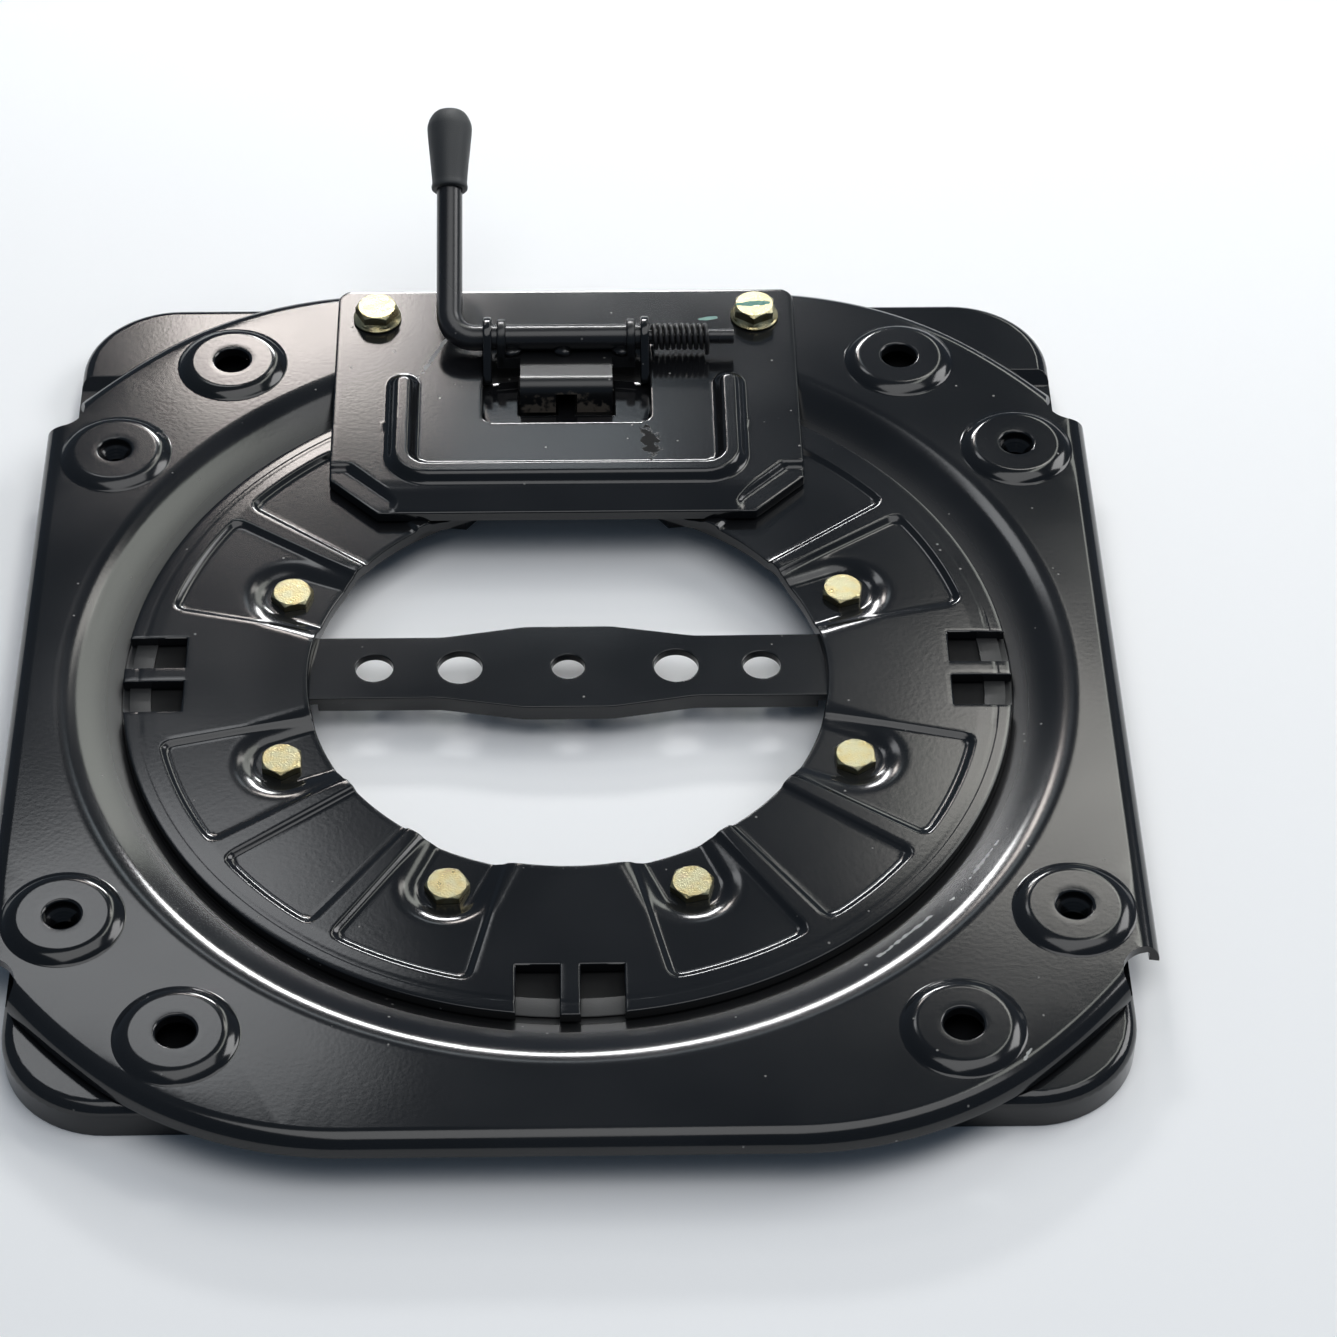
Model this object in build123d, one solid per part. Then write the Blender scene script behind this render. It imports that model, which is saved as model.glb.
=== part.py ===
from build123d import *
import math
import os

# Swivel seat base: a pressed-steel turntable with a sprung lever latch.
# Millimetres, +Z up. The origin is on the swivel axis, in the plane that the lower plate stands on.
# The latch is on the +Y side. Every part is modelled in place, with the latch lifted clear of the disc.

# Sheets
plate_t = 3.0
disc_t = 3.0
latch_t = 3.0
strap_t = 3.0

# Lower plate
base_width = 332.0
base_depth = 354.0
base_shift_y = 8.0
base_corner_r = 32.0
base_height = 12.0
base_edge_r = 4.0
base_step = 4.0
base_front_rail = 38.0
base_back_rail = 36.0
base_dish_gap = 1.5
base_hole_step = 4.0
plateau_rise = 2.5
plateau_land = 6.5
pad_x = 128.0
pad_y = 100.0
pad_floor_r = 11.0
pad_slope = 5.0
pad_hole_r = 5.5

# Retainer disc
disc_r = 140.0
disc_hole_r = 82.0
disc_bolt_inset = 14.0
disc_bolt_count = 8
panel_depth = 1.2
panel_rim = 10.0
panel_corner_r = 4.0
cardinal_half_angle = 13.2
bolt_panel_angle = 20.1
panel_bar_angle = 3.2
pocket_depth = 2.8
pocket_floor_r = 9.5
pocket_flare = 1.25
notch_width = 12.9
notch_bar = 6.2
notch_depth = 19.0

# Slide rings and running gaps
run_gap = 0.3
slide_t = 1.2
slide_inset = 2.0
slide_width = 6.5
bearing_width = 11.4

# Upper plate
plate_width = 348.6
plate_depth = 373.0
plate_shift_y = -1.7
plate_corner_r = 210.5
plate_blend_run = 28.0
plate_arc_left = math.radians(1.5)
plate_arc_room = 40.0
plate_flange = 6.5
plate_edge_r = 4.0
relief_r = 9.3
relief_in = 2.8
relief_up = 7.5
rim_overlap = 20.0
wall_gap = 5.5
wall_run = 12.0
wall_drop = 6.8
wall_land = 6.0
boss_height = 2.5
boss_foot_r = 18.2
boss_head_r = 14.2
boss_land = 2.0
threaded_x = 150.0
threaded_y = 102.0
threaded_hole_r = 5.5
plain_x = 113.6
plain_y = 146.8
plain_hole_r = 6.0

# Cross strap
strap_overlap = 12.0
strap_end_width = 27.0
strap_mid_width = 36.0
strap_mid_length = 28.0
strap_shoulder = 26.0
strap_shift_y = 6.0
strap_lip = 6.0
strap_lip_gap = 7.0
strap_holes = ((0.0, 5.3), (34.3, 7.1), (61.5, 6.0))

# Latch plate
latch_width = 157.0
latch_length = 110.6
latch_margin = 14.8
latch_drop = 2.0
latch_chamfer = 16.5
latch_corner_r = 5.0
latch_low_back = 3.6
latch_low_gap = 2.0
latch_low_elbow = 15.5
bead_x = 55.0
bead_gap = 25.1
bead_length = 43.6
bead_width = 11.0
bead_top_width = 4.0
bead_height = 3.0
bead_corner_r = 9.0
window_half = 28.2
window_front_gap = 14.0
window_back_gap = 9.0
window_corner_r = 3.5
ear_t = 3.0
ear_gap = 4.5
ear_r = 8.5

# Lever, shaft and tongue
shaft_rise = 6.5
rod_r = 4.4
pin_r = 2.5
pin_length = 28.8
lever_gap = 11.4
lever_bend_r = 8.5
lever_angle = 28.0
lever_length = 80.0
grip_start = 54.0
grip_length = 32.0
grip_r = 7.9
grip_neck_r = 6.2
latch_lift_angle = 12.0
tongue_t = 4.0
tongue_reach = 21.5
tongue_tail = 4.0
tongue_side_gap = 1.7
tooth_side_gap = 0.5
tooth_front_gap = 2.8
tooth_clear = 0.4
cheek_t = 3.0
cheek_r = 7.0

# Return spring
spring_wire_r = 0.8
spring_coils = 9
spring_gap = 0.5

# Fasteners
fit = 0.05
hole_play = 0.3
disc_bolt_r = 4.0
disc_bolt_flats = 12.0
disc_bolt_head = 4.0
disc_nut_flats = 14.0
disc_nut_h = 5.5
latch_bolt_x = 64.8
latch_bolt_gap = 18.0
latch_bolt_r = 4.0
latch_bolt_flats = 13.0
latch_bolt_head = 8.0
latch_flange_r = 8.8
latch_flange_t = 1.8
latch_nut_flats = 13.0
latch_nut_h = 4.0
seat_nut_flats = 17.0
seat_nut_h = 6.5
seat_bolt_r = 5.0
pad_nut_flats = 17.0
pad_nut_h = 6.0
pad_bolt_r = 5.0

# Levels, from the floor up
base_mid = base_height - base_step
base_seat = base_mid + plateau_rise
pocket_floor = base_seat + disc_t
disc_top = pocket_floor + pocket_depth + panel_depth
disc_under = disc_top - disc_t
rim_top = disc_under - run_gap - slide_t
rim_under = rim_top - plate_t
plate_top = rim_top + wall_drop
plate_under = plate_top - plate_t
flange_foot = plate_top - plate_flange
boss_top = plate_top + boss_height
latch_top = plate_top + latch_t
latch_low = latch_top - latch_drop
shaft_z = latch_top + shaft_rise

# Radii, from the disc outwards and inwards
disc_bolt_circle_r = disc_hole_r + disc_bolt_inset
panel_outer_r = disc_r - panel_rim
notch_inner_r = disc_r - notch_depth
slide_outer_r = disc_r - slide_inset
slide_inner_r = slide_outer_r - slide_width
bearing_r = slide_outer_r - slide_width
rim_inner_r = disc_r - rim_overlap
wall_foot_r = disc_r + wall_gap
wall_top_r = wall_foot_r + wall_run
base_dish_r = wall_top_r + base_dish_gap
base_hole_r = disc_hole_r + base_hole_step
plateau_r = disc_bolt_circle_r + pocket_floor_r + plateau_land
relief_y = math.sqrt(plate_corner_r**2 - (plate_width / 2)**2) + relief_up

# Latch places along Y, from the lock notch backwards
tooth_y = notch_inner_r + tooth_front_gap + tongue_t / 2
shaft_y = tooth_y + tongue_reach
window_front_y = tooth_y - window_front_gap
window_back_y = shaft_y + window_back_gap
ear_front_y = window_front_y + ear_gap
latch_bolt_y = shaft_y + latch_bolt_gap
latch_back_y = latch_bolt_y + latch_margin
latch_front_y = latch_back_y - latch_length
bead_front_y = window_front_y - bead_gap
bead_back_y = bead_front_y + bead_length
latch_slope_y = bead_front_y - bead_width / 2
latch_low_y = bead_front_y + latch_low_back
latch_low_x = bead_x + latch_low_gap
ear_outer = window_half
ear_inner = window_half - ear_t
pin_end_x = ear_outer + pin_length
lever_x = -(ear_outer + lever_gap)

shaft_axis = Pos(0, shaft_y, shaft_z)
quarter_turns = [0, 90, 180, 270]
corner_signs = [(1, 1), (-1, 1), (-1, -1), (1, -1)]


def prism(face, low, high):
    """A plan face carried from one level to another."""
    return extrude(Pos(0, 0, low) * face, high - low)


def rod(radius, low, high):
    """An upright cylinder between two levels."""
    return prism(Circle(radius), low, high)


def cone(low_r, high_r, low, high):
    """An upright frustum between two levels."""
    return Pos(0, 0, (low + high) / 2) * Cone(low_r, high_r, high - low)


def cross_rod(radius, low_x, high_x):
    """A cylinder on the shaft axis between two places along X."""
    return Pos((low_x + high_x) / 2, shaft_y, shaft_z) * Rot(0, 90, 0) * Cylinder(radius, high_x - low_x)


def outline(points):
    """A plane face with straight sides."""
    return make_face(Polyline(*points, close=True))


def spun(points):
    """A solid of revolution about Z from (radius, z) points."""
    return revolve(Plane.XZ * outline(points), Axis.Z)


def side_profile(points, low_x, high_x):
    """A (y, z) outline carried along X."""
    return extrude(Plane.YZ.offset(low_x) * outline(points), high_x - low_x)


def hexagon(flats):
    """A hexagon given by its width across flats."""
    return RegularPolygon(flats / 2, 6, major_radius=False)


def top_edges(solid):
    """The edges that lie in the highest level of a solid."""
    return solid.edges().group_by(Axis.Z)[-1]


def four_corners(x, y, shift_y=0):
    """Four places set out symmetrically about a point on the swivel axis or beside it."""
    return [Pos(sx * x, shift_y + sy * y) for sx, sy in corner_signs]


def save(name, solid):
    """Write one part."""
    solid.label = name
    export_step(solid, f"parts/{name}.step")


# Lower plate
def base_form(drop, inset):
    """Solid below the lower plate's top face, sunk by drop and drawn in by inset."""
    top = base_height - drop
    mid = base_mid - drop
    plan = RectangleRounded(base_width - 2 * inset, base_depth - 2 * inset, base_corner_r - inset)
    form = prism(Pos(0, base_shift_y) * plan, 0, top)
    form = fillet(top_edges(form), base_edge_r - inset)
    front = base_shift_y - base_depth / 2 + base_front_rail
    back = base_shift_y + base_depth / 2 - base_back_rail
    channel = ((front, top), (front + base_step, mid), (back - base_step, mid), (back, top))
    form -= side_profile(channel, -base_width, base_width)
    form -= cone(base_dish_r - base_step, base_dish_r, mid, top)
    form += cone(plateau_r + plateau_rise, plateau_r, mid, base_seat - drop)
    pad = cone(pad_floor_r, pad_floor_r + pad_slope, plate_t - drop, mid)
    for place in four_corners(pad_x, pad_y):
        form -= place * pad
    return form


def bolt_places():
    """Disc bolt places around the swivel axis, in pairs beside each quarter line."""
    turn = 360 / disc_bolt_count
    return [Rot(0, 0, turn * (k + 0.5)) * Pos(disc_bolt_circle_r, 0) for k in range(disc_bolt_count)]


def make_lower_plate():
    """Pressed lower plate with a skirt, raised rails, four fixing pads and its weld nuts."""
    plate = base_form(0, 0) - base_form(plate_t, plate_t)
    plate -= rod(base_hole_r, 0, base_height)
    disc_nut = prism(hexagon(disc_nut_flats), base_seat - plate_t - disc_nut_h, base_seat - plate_t)
    for place in bolt_places():
        plate += place * disc_nut
        plate -= place * rod(disc_bolt_r + hole_play, 0, base_height)
    pad_nut = prism(hexagon(pad_nut_flats), plate_t, plate_t + pad_nut_h)
    for place in four_corners(pad_x, pad_y):
        plate += place * pad_nut
        plate -= place * rod(pad_hole_r, -plate_t, plate_t)
        plate -= place * rod(pad_bolt_r + fit, plate_t, base_height)
    return plate


# Retainer disc
def sector(from_angle, to_angle):
    """Plan of one pressed panel: a sector that is open to the centre hole, with rounded outer corners."""
    angles = [math.radians(a) for a in (from_angle, (from_angle + to_angle) / 2, to_angle)]
    rim = [(panel_outer_r * math.cos(a), panel_outer_r * math.sin(a)) for a in angles]
    root = [(x / panel_outer_r, y / panel_outer_r) for x, y in rim]
    sides = [Line(root[0], rim[0]), ThreePointArc(*rim), Line(rim[2], root[2]), Line(root[2], root[0])]
    face = make_face(sides)
    return fillet(face.vertices().sort_by_distance((0, 0, 0))[-2:], panel_corner_r)


def pocket(floor):
    """Space above a bolt: a round-ended trough that runs in to the centre hole, with sloped walls."""
    mouth = floor + pocket_depth + 2 * panel_depth
    mouth_r = pocket_floor_r + pocket_flare * (mouth - floor)
    trough = ((-pocket_floor_r, floor), (-mouth_r, mouth), (mouth_r, mouth), (pocket_floor_r, floor))
    return cone(pocket_floor_r, mouth_r, floor, mouth) + side_profile(trough, -2 * disc_bolt_inset, 0)


def disc_form(drop):
    """Solid below the disc's face with its bolt pockets, sunk by drop."""
    form = rod(disc_r, 0, disc_top - drop)
    for place in bolt_places():
        form -= place * pocket(pocket_floor - drop)
    return form


def panel_recess():
    """Space of the shallow pressed panels in one quarter of the disc."""
    first_end = cardinal_half_angle + bolt_panel_angle
    middle_start = first_end + panel_bar_angle
    panels = sector(cardinal_half_angle, first_end) + sector(middle_start, 90 - middle_start)
    panels += sector(90 - first_end, 90 - cardinal_half_angle)
    return prism(panels, disc_top - panel_depth, disc_top)


def make_retainer_disc():
    """Pressed disc with sector panels, bolt pockets and a pair of lock notches at each quarter turn."""
    disc = disc_form(0) - disc_form(disc_t)
    disc -= rod(disc_hole_r, 0, disc_top)
    notch = Rectangle(2 * notch_depth, notch_width)
    notch = Pos(notch_inner_r + notch_depth, (notch_bar + notch_width) / 2) * notch
    cuts = prism(notch + mirror(notch, Plane.XZ), 0, disc_top) + panel_recess()
    for turn in quarter_turns:
        disc -= Rot(0, 0, turn) * cuts
    for place in bolt_places():
        disc -= place * rod(disc_bolt_r + hole_play, 0, disc_top)
    return disc


# Upper plate
def plate_face(inset):
    """Plan outline of the upper plate: a disc cut by four straight edges, eased into the front and back."""
    half_depth = plate_depth / 2 - inset
    corner_r = plate_corner_r - inset
    face = Circle(corner_r) & Rectangle(plate_width - 2 * inset, 2 * half_depth)
    ends = [v for v in face.vertices() if abs(abs(v.Y) - half_depth) < fit]
    turn = math.acos(half_depth / corner_r)
    arc_end = math.sin(math.acos((plate_width / 2 - inset) / corner_r) + plate_arc_left)
    room = (half_depth - corner_r * arc_end) / (1 - arc_end)
    blend_r = min(plate_blend_run / math.tan(turn / 2), room, corner_r - plate_arc_room)
    return Pos(0, plate_shift_y) * fillet(ends, blend_r)


def seat_places():
    """Seat hole places with their hole radius."""
    threaded = [(place, threaded_hole_r) for place in four_corners(threaded_x, threaded_y, plate_shift_y)]
    return threaded + [(place, plain_hole_r) for place in four_corners(plain_x, plain_y, plate_shift_y)]


def boss(hole_r):
    """Raised round seat boss with a flat top, as a ring of sheet."""
    join_r = boss_foot_r + boss_land
    lean = math.atan2(boss_height, boss_foot_r - boss_head_r)
    shift = plate_t * math.tan(lean / 2)
    under = boss_top - plate_t
    return spun(((join_r, plate_top), (boss_foot_r, plate_top), (boss_head_r, boss_top), (hole_r, boss_top),
                 (hole_r, under), (boss_head_r - shift, under), (boss_foot_r - shift, plate_under),
                 (join_r, plate_under)))


def sunken_rim(join_r):
    """Ring of sheet from the flat top down the sloped wall to the sunken rim that the disc covers."""
    shift = plate_t * math.tan(math.atan2(wall_drop, wall_run) / 2)
    return spun(((rim_inner_r, rim_under), (rim_inner_r, rim_top), (wall_foot_r, rim_top),
                 (wall_top_r, plate_top), (join_r, plate_top), (join_r, plate_under),
                 (wall_top_r + shift, plate_under), (wall_foot_r + shift, rim_under)))


def make_upper_plate():
    """Pressed upper plate: turned-down edge, sunken centre, eight raised seat bosses and weld nuts."""
    plate = fillet(top_edges(prism(plate_face(0), flange_foot, plate_top)), plate_edge_r)
    plate -= prism(plate_face(plate_t), flange_foot, plate_under)
    join_r = wall_top_r + wall_land
    plate = plate - rod(join_r, 0, boss_top) + sunken_rim(join_r)
    for place, hole_r in seat_places():
        plate -= place * rod(boss_foot_r + boss_land, flange_foot, boss_top)
        plate += place * boss(hole_r)
    boss_under = boss_top - plate_t
    seat_nut = prism(hexagon(seat_nut_flats), boss_under - seat_nut_h, boss_under)
    seat_nut -= rod(seat_bolt_r + fit, flange_foot - seat_nut_h, boss_under)
    for place in four_corners(threaded_x, threaded_y, plate_shift_y):
        plate += place * seat_nut
    for place in four_corners(plate_width / 2 - relief_in, relief_y, plate_shift_y):
        plate -= place * rod(relief_r, flange_foot, plate_top)
    latch_nut = prism(hexagon(latch_nut_flats), plate_under - latch_nut_h, plate_under)
    for sign in (-1, 1):
        place = Pos(sign * latch_bolt_x, latch_bolt_y)
        plate += place * latch_nut
        plate -= place * rod(latch_bolt_r + hole_play, plate_under - latch_nut_h, plate_top)
    return plate


# Slide rings
def ring(inner_r, outer_r, low, high):
    """Flat ring between two levels."""
    return rod(outer_r, low, high) - rod(inner_r, low, high)


def make_lower_slide_ring():
    """Ring on the lower plate that carries the upper plate's rim."""
    half = bearing_width / 2
    return ring(bearing_r - half, bearing_r + half, base_mid, rim_under - run_gap)


def make_upper_slide_ring():
    """Ring on the upper plate's rim that runs under the disc."""
    return ring(slide_inner_r, slide_outer_r, rim_top, rim_top + slide_t)


# Cross strap
def strap_face(inset, reach):
    """Plan of the strap: wider in the middle, with eased shoulders."""
    end = strap_end_width / 2 - inset
    middle = strap_mid_width / 2 - inset
    crown = strap_mid_length / 2
    shoulder = crown + strap_shoulder
    half = [(-reach, end), (-shoulder, end), (-crown, middle),
            (crown, middle), (shoulder, end), (reach, end)]
    face = outline(half + [(x, -y) for x, y in reversed(half)])
    eased = [v for v in face.vertices() if abs(v.X) < shoulder + fit]
    return Pos(0, strap_shift_y) * fillet(eased, strap_shoulder)


def make_cross_strap():
    """Strap across the centre hole: edges turned down inside the hole, ends laid on the plate."""
    top = base_seat + strap_t
    reach = base_hole_r + strap_overlap
    lip_end = base_hole_r - strap_lip_gap
    strap = prism(strap_face(0, reach), top - strap_lip, top)
    strap -= prism(strap_face(strap_t, 2 * reach), top - strap_lip, base_seat)
    for sign in (-1, 1):
        end = Pos(sign * (lip_end + reach), strap_shift_y) * Rectangle(2 * reach, 2 * strap_mid_width)
        strap -= prism(end, top - strap_lip, base_seat)
        for x, radius in strap_holes:
            strap -= Pos(sign * x, strap_shift_y) * rod(radius, base_seat, top)
    return strap


# Latch plate
def latch_face():
    """Plan outline of the latch plate, with chamfered front corners."""
    half = latch_width / 2
    points = [(half, latch_back_y), (half, latch_front_y + latch_chamfer),
              (half - latch_chamfer, latch_front_y)]
    face = outline(points + [(-x, y) for x, y in reversed(points)])
    return fillet(face.vertices().group_by(Axis.Y)[-1], latch_corner_r)


def low_corner(low):
    """Space above a stepped-down front corner, with a sloped wall on its inner sides."""
    out = latch_width
    bend = latch_drop * math.tan(math.radians(45) / 2)
    faces = []
    for z, grow, ease in ((low, 0, 0), (low + latch_drop, latch_drop, bend)):
        side = latch_low_x - grow
        back = latch_low_y + grow
        knee_x = latch_low_x + latch_low_elbow - ease
        knee_y = latch_low_y - latch_low_elbow + ease
        plan = outline(((out, back), (knee_x, back), (side, knee_y), (side, 0), (out, 0)))
        faces.append(Pos(0, 0, z) * plan)
    return loft(faces, ruled=True)


def bead(level):
    """U-shaped stiffening bead that stands up from the latch plate."""
    path = FilletPolyline((-bead_x, bead_back_y, level), (-bead_x, bead_front_y, level),
                          (bead_x, bead_front_y, level), (bead_x, bead_back_y, level), radius=bead_corner_r)
    half = bead_width / 2
    crown = bead_top_width / 2
    section = outline(((-half, 0), (half, 0), (crown, bead_height), (-crown, bead_height)))
    start = Plane(origin=path @ 0, x_dir=(1, 0, 0), z_dir=path % 0)
    shape = sweep(start * section, path=path)
    for sign in (-1, 1):
        shape += Pos(sign * bead_x, bead_back_y) * cone(half, crown, level, level + bead_height)
    return shape


def latch_form(drop):
    """Solid below the latch plate's top face, sunk by drop."""
    top = latch_top - drop
    run = latch_slope_y - latch_front_y
    profile = ((latch_back_y, 0), (latch_back_y, top), (latch_slope_y, top),
               (latch_front_y - run, top - 2 * latch_drop), (latch_front_y - run, 0))
    form = side_profile(profile, -latch_width, latch_width) + bead(top)
    corner = low_corner(latch_low - drop)
    return form - corner - mirror(corner, Plane.YZ)


def ear():
    """Upright ear beside the window, rounded about the shaft."""
    low = latch_top - latch_t
    post = ((ear_front_y, low), (ear_front_y, latch_top),
            (shaft_y - ear_r / 2, shaft_z + ear_r * math.sqrt(3) / 2),
            (shaft_y + ear_r, shaft_z), (shaft_y + ear_r, low))
    plate = side_profile(post, ear_inner, ear_outer) + cross_rod(ear_r, ear_inner, ear_outer)
    return plate - cross_rod(rod_r + hole_play, 0, latch_width)


def make_latch_plate():
    """Latch plate: a window for the tongue, two ears, a stiffening bead and a stepped-down front edge."""
    plate = (latch_form(0) - latch_form(latch_t)) & prism(latch_face(), 0, shaft_z)
    window = Pos(0, (window_front_y + window_back_y) / 2) * RectangleRounded(
        2 * window_half, window_back_y - window_front_y, window_corner_r)
    plate -= prism(window, 0, shaft_z)
    for sign in (-1, 1):
        plate -= Pos(sign * latch_bolt_x, latch_bolt_y) * rod(latch_bolt_r + hole_play, 0, shaft_z)
    return plate + ear() + mirror(ear(), Plane.YZ)


# Lever, tongue and spring
def make_lever_rod():
    """Pivot shaft along X and lever arm, bent from one rod, with a thinner pin end for the spring."""
    angle = math.radians(lever_angle)
    tip = (lever_x, shaft_y + lever_length * math.cos(angle), shaft_z + lever_length * math.sin(angle))
    start = (ear_outer, shaft_y, shaft_z)
    corner = (lever_x, shaft_y, shaft_z)
    path = FilletPolyline(start, corner, tip, radius=lever_bend_r)
    arm = sweep(Plane(origin=path @ 0, z_dir=path % 0) * Circle(rod_r), path=path)
    return arm + cross_rod(pin_r, ear_outer, pin_end_x)


def make_lever_grip():
    """Moulded grip: tapered, wider at its domed end, pushed over the rod's end."""
    dome = grip_r / 4
    body = spun(((0, 0), (grip_neck_r, 0), (grip_r, grip_length - 2 * dome),
                 (grip_r - dome / 2, grip_length - dome / 2), (grip_r - 2 * dome, grip_length),
                 (0, grip_length)))
    body -= rod(rod_r + fit, 0, lever_length - grip_start)
    return Pos(lever_x, shaft_y, shaft_z) * Rot(lever_angle - 90, 0, 0) * Pos(0, 0, grip_start) * body


def make_latch_tongue():
    """Bent plate welded under the shaft: two cheeks hold the shaft and two teeth drop into the notches."""
    web_top = shaft_z - rod_r
    web_low = web_top - tongue_t
    tip = rim_top + tooth_clear
    front = tooth_y - tongue_t / 2
    back = tooth_y + tongue_t / 2
    tail = shaft_y + tongue_tail
    tooth_in = notch_bar / 2 + tooth_side_gap
    tooth_out = notch_bar / 2 + notch_width - tooth_side_gap
    yoke = ear_inner - tongue_side_gap
    arm = ((tail, web_top), (tail, web_low), (back, web_low), (back, tip), (front, tip), (front, web_low),
           (back, web_top))
    tongue = side_profile(arm, -tooth_out, tooth_out)
    slot = Pos(0, tooth_y) * Rectangle(2 * tooth_in, 2 * tongue_t)
    tongue -= prism(slot, 0, web_low)
    cheek = ((shaft_y - cheek_r, web_low), (shaft_y - cheek_r, shaft_z), (tail, shaft_z), (tail, web_low))
    side = side_profile(cheek, yoke - cheek_t, yoke) + cross_rod(cheek_r, yoke - cheek_t, yoke)
    shelf = ((shaft_y - cheek_r, web_low), (shaft_y - cheek_r, web_top), (tail, web_top), (tail, web_low))
    tongue += side_profile(shelf, -yoke, yoke) + side + mirror(side, Plane.YZ)
    tongue -= cross_rod(rod_r + fit, -ear_outer, ear_outer)
    return shaft_axis * Rot(-latch_lift_angle, 0, 0) * shaft_axis.inverse() * tongue


def make_return_spring():
    """Close-wound coil around the pin end, beside the right ear: a sleeve with one ridge a turn."""
    inner_r = pin_r + spring_gap
    outer_r = inner_r + 2 * spring_wire_r
    valley_r = inner_r + spring_wire_r
    step = spring_wire_r + run_gap / 2
    ridges = [(outer_r if k % 2 else valley_r, k * step) for k in range(2 * spring_coils + 1)]
    coil = spun([(inner_r, 0)] + ridges + [(inner_r, ridges[-1][1])])
    return Pos(ear_outer + run_gap, shaft_y, shaft_z) * Rot(0, 90, 0) * coil


# Fasteners
def hex_bolt(radius, flats, head, seat, foot):
    """Hex bolt with its head standing on the seat level and its shank down to the foot level."""
    return prism(hexagon(flats), seat, seat + head) + rod(radius, foot, seat)


def save_fasteners():
    """Write every bolt."""
    disc_foot = base_seat - plate_t - disc_nut_h
    disc_bolt = hex_bolt(disc_bolt_r, disc_bolt_flats, disc_bolt_head, pocket_floor, disc_foot)
    for k, place in enumerate(bolt_places(), 1):
        save(f"disc_bolt_{k}", place * disc_bolt)
    latch_bolt_foot = plate_under - latch_nut_h
    latch_bolt = hex_bolt(latch_bolt_r, latch_bolt_flats, latch_bolt_head, latch_top, latch_bolt_foot)
    latch_bolt += rod(latch_flange_r, latch_top, latch_top + latch_flange_t)
    for side, sign in (("left", -1), ("right", 1)):
        save(f"latch_bolt_{side}", Pos(sign * latch_bolt_x, latch_bolt_y) * latch_bolt)


os.makedirs("parts", exist_ok=True)
save("lower_plate", make_lower_plate())
save("retainer_disc", make_retainer_disc())
save("upper_plate", make_upper_plate())
save("lower_slide_ring", make_lower_slide_ring())
save("upper_slide_ring", make_upper_slide_ring())
save("cross_strap", make_cross_strap())
save("latch_plate", make_latch_plate())
save("lever_rod", make_lever_rod())
save("lever_grip", make_lever_grip())
save("latch_tongue", make_latch_tongue())
save("return_spring", make_return_spring())
save_fasteners()
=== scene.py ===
import math

import bmesh
import bpy
import numpy as np
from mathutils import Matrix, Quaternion, Vector, geometry


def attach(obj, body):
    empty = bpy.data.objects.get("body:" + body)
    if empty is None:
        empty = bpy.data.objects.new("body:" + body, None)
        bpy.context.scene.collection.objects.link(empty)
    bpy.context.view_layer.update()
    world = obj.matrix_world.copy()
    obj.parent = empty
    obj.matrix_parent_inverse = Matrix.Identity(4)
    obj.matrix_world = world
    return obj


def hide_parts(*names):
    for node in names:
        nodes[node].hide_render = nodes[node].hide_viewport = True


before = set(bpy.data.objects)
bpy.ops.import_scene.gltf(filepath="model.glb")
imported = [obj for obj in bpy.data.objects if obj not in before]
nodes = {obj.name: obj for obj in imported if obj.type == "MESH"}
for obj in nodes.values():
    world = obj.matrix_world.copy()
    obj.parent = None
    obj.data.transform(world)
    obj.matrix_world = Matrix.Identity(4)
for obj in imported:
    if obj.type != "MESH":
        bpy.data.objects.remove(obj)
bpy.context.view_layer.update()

# Sizes of the pressed forms, in millimetres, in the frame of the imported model.
QUADRANTS = ((1, 1), (-1, 1), (-1, -1), (1, -1))

# Retainer disc; the panel sides are angles in degrees from the middle of a pair of notches.
DISC_HOLE_R, DISC_R, DISC_TOP, DISC_T = 82.0, 140.0, 17.5, 3.0
PANEL_R, PANEL_DEPTH, PANEL_CORNER_R, PANEL_SIDES = 130.0, 1.2, 4.0, (13.2, 33.3, 36.5)
PANEL_STEP_RUN, PANEL_STEP_START = 2.3, 0.28
MARGIN_FALL, MARGIN_LINE_R, MARGIN_LINE_HALF, MARGIN_LINE_DEPTH = 0.026, 135.4, 0.5, 0.12
POCKET_R, POCKET_FLOOR, POCKET_FLARE, POCKET_FILLET, POCKET_ROLL = 9.3, 14.8, 1.75, 0.35, 2.6
NOTCH_IN, NOTCH_OUT, NOTCH_R = 3.1, 16.0, 121.0
NOTCH_LINE_R, NOTCH_REACH, FLATTEN_RUN = 130.0, math.radians(9.0), 19.0

# Upper plate
PLATE_TOP, PLATE_T, PLATE_Y = 19.8, 3.0, -1.7
PLATE_HALF_X, PLATE_HALF_Y, PLATE_CORNER_R, PLATE_BLEND_RUN = 174.3, 186.5, 210.5, 28.0
FLANGE_FOOT, EDGE_R, EDGE_INNER_R = 13.3, 6.0, 1.0
RELIEF_X, RELIEF_Y, RELIEF_R = 171.5, 125.52, 9.3
RIM_TOP, RIM_R, RIM_END_R, WELL_R = 13.0, 120.0, 139.8, 161.6
WALL_FOOT_R, WALL_FOOT, WALL_TOP_R, WALL_ROLL, WALL_LIP = 140.6, 13.4, 157.5, 1.6, 0.4
BOSS_FOOT_R, BOSS_HEAD_R, BOSS_RISE, BOSS_FILLET, BOSS_ROLL = 18.4, 15.4, 2.5, 0.5, 1.9
BOSS_JOIN_R, BOSS_FLAT_R = BOSS_FOOT_R + 0.3, 12.0
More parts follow.
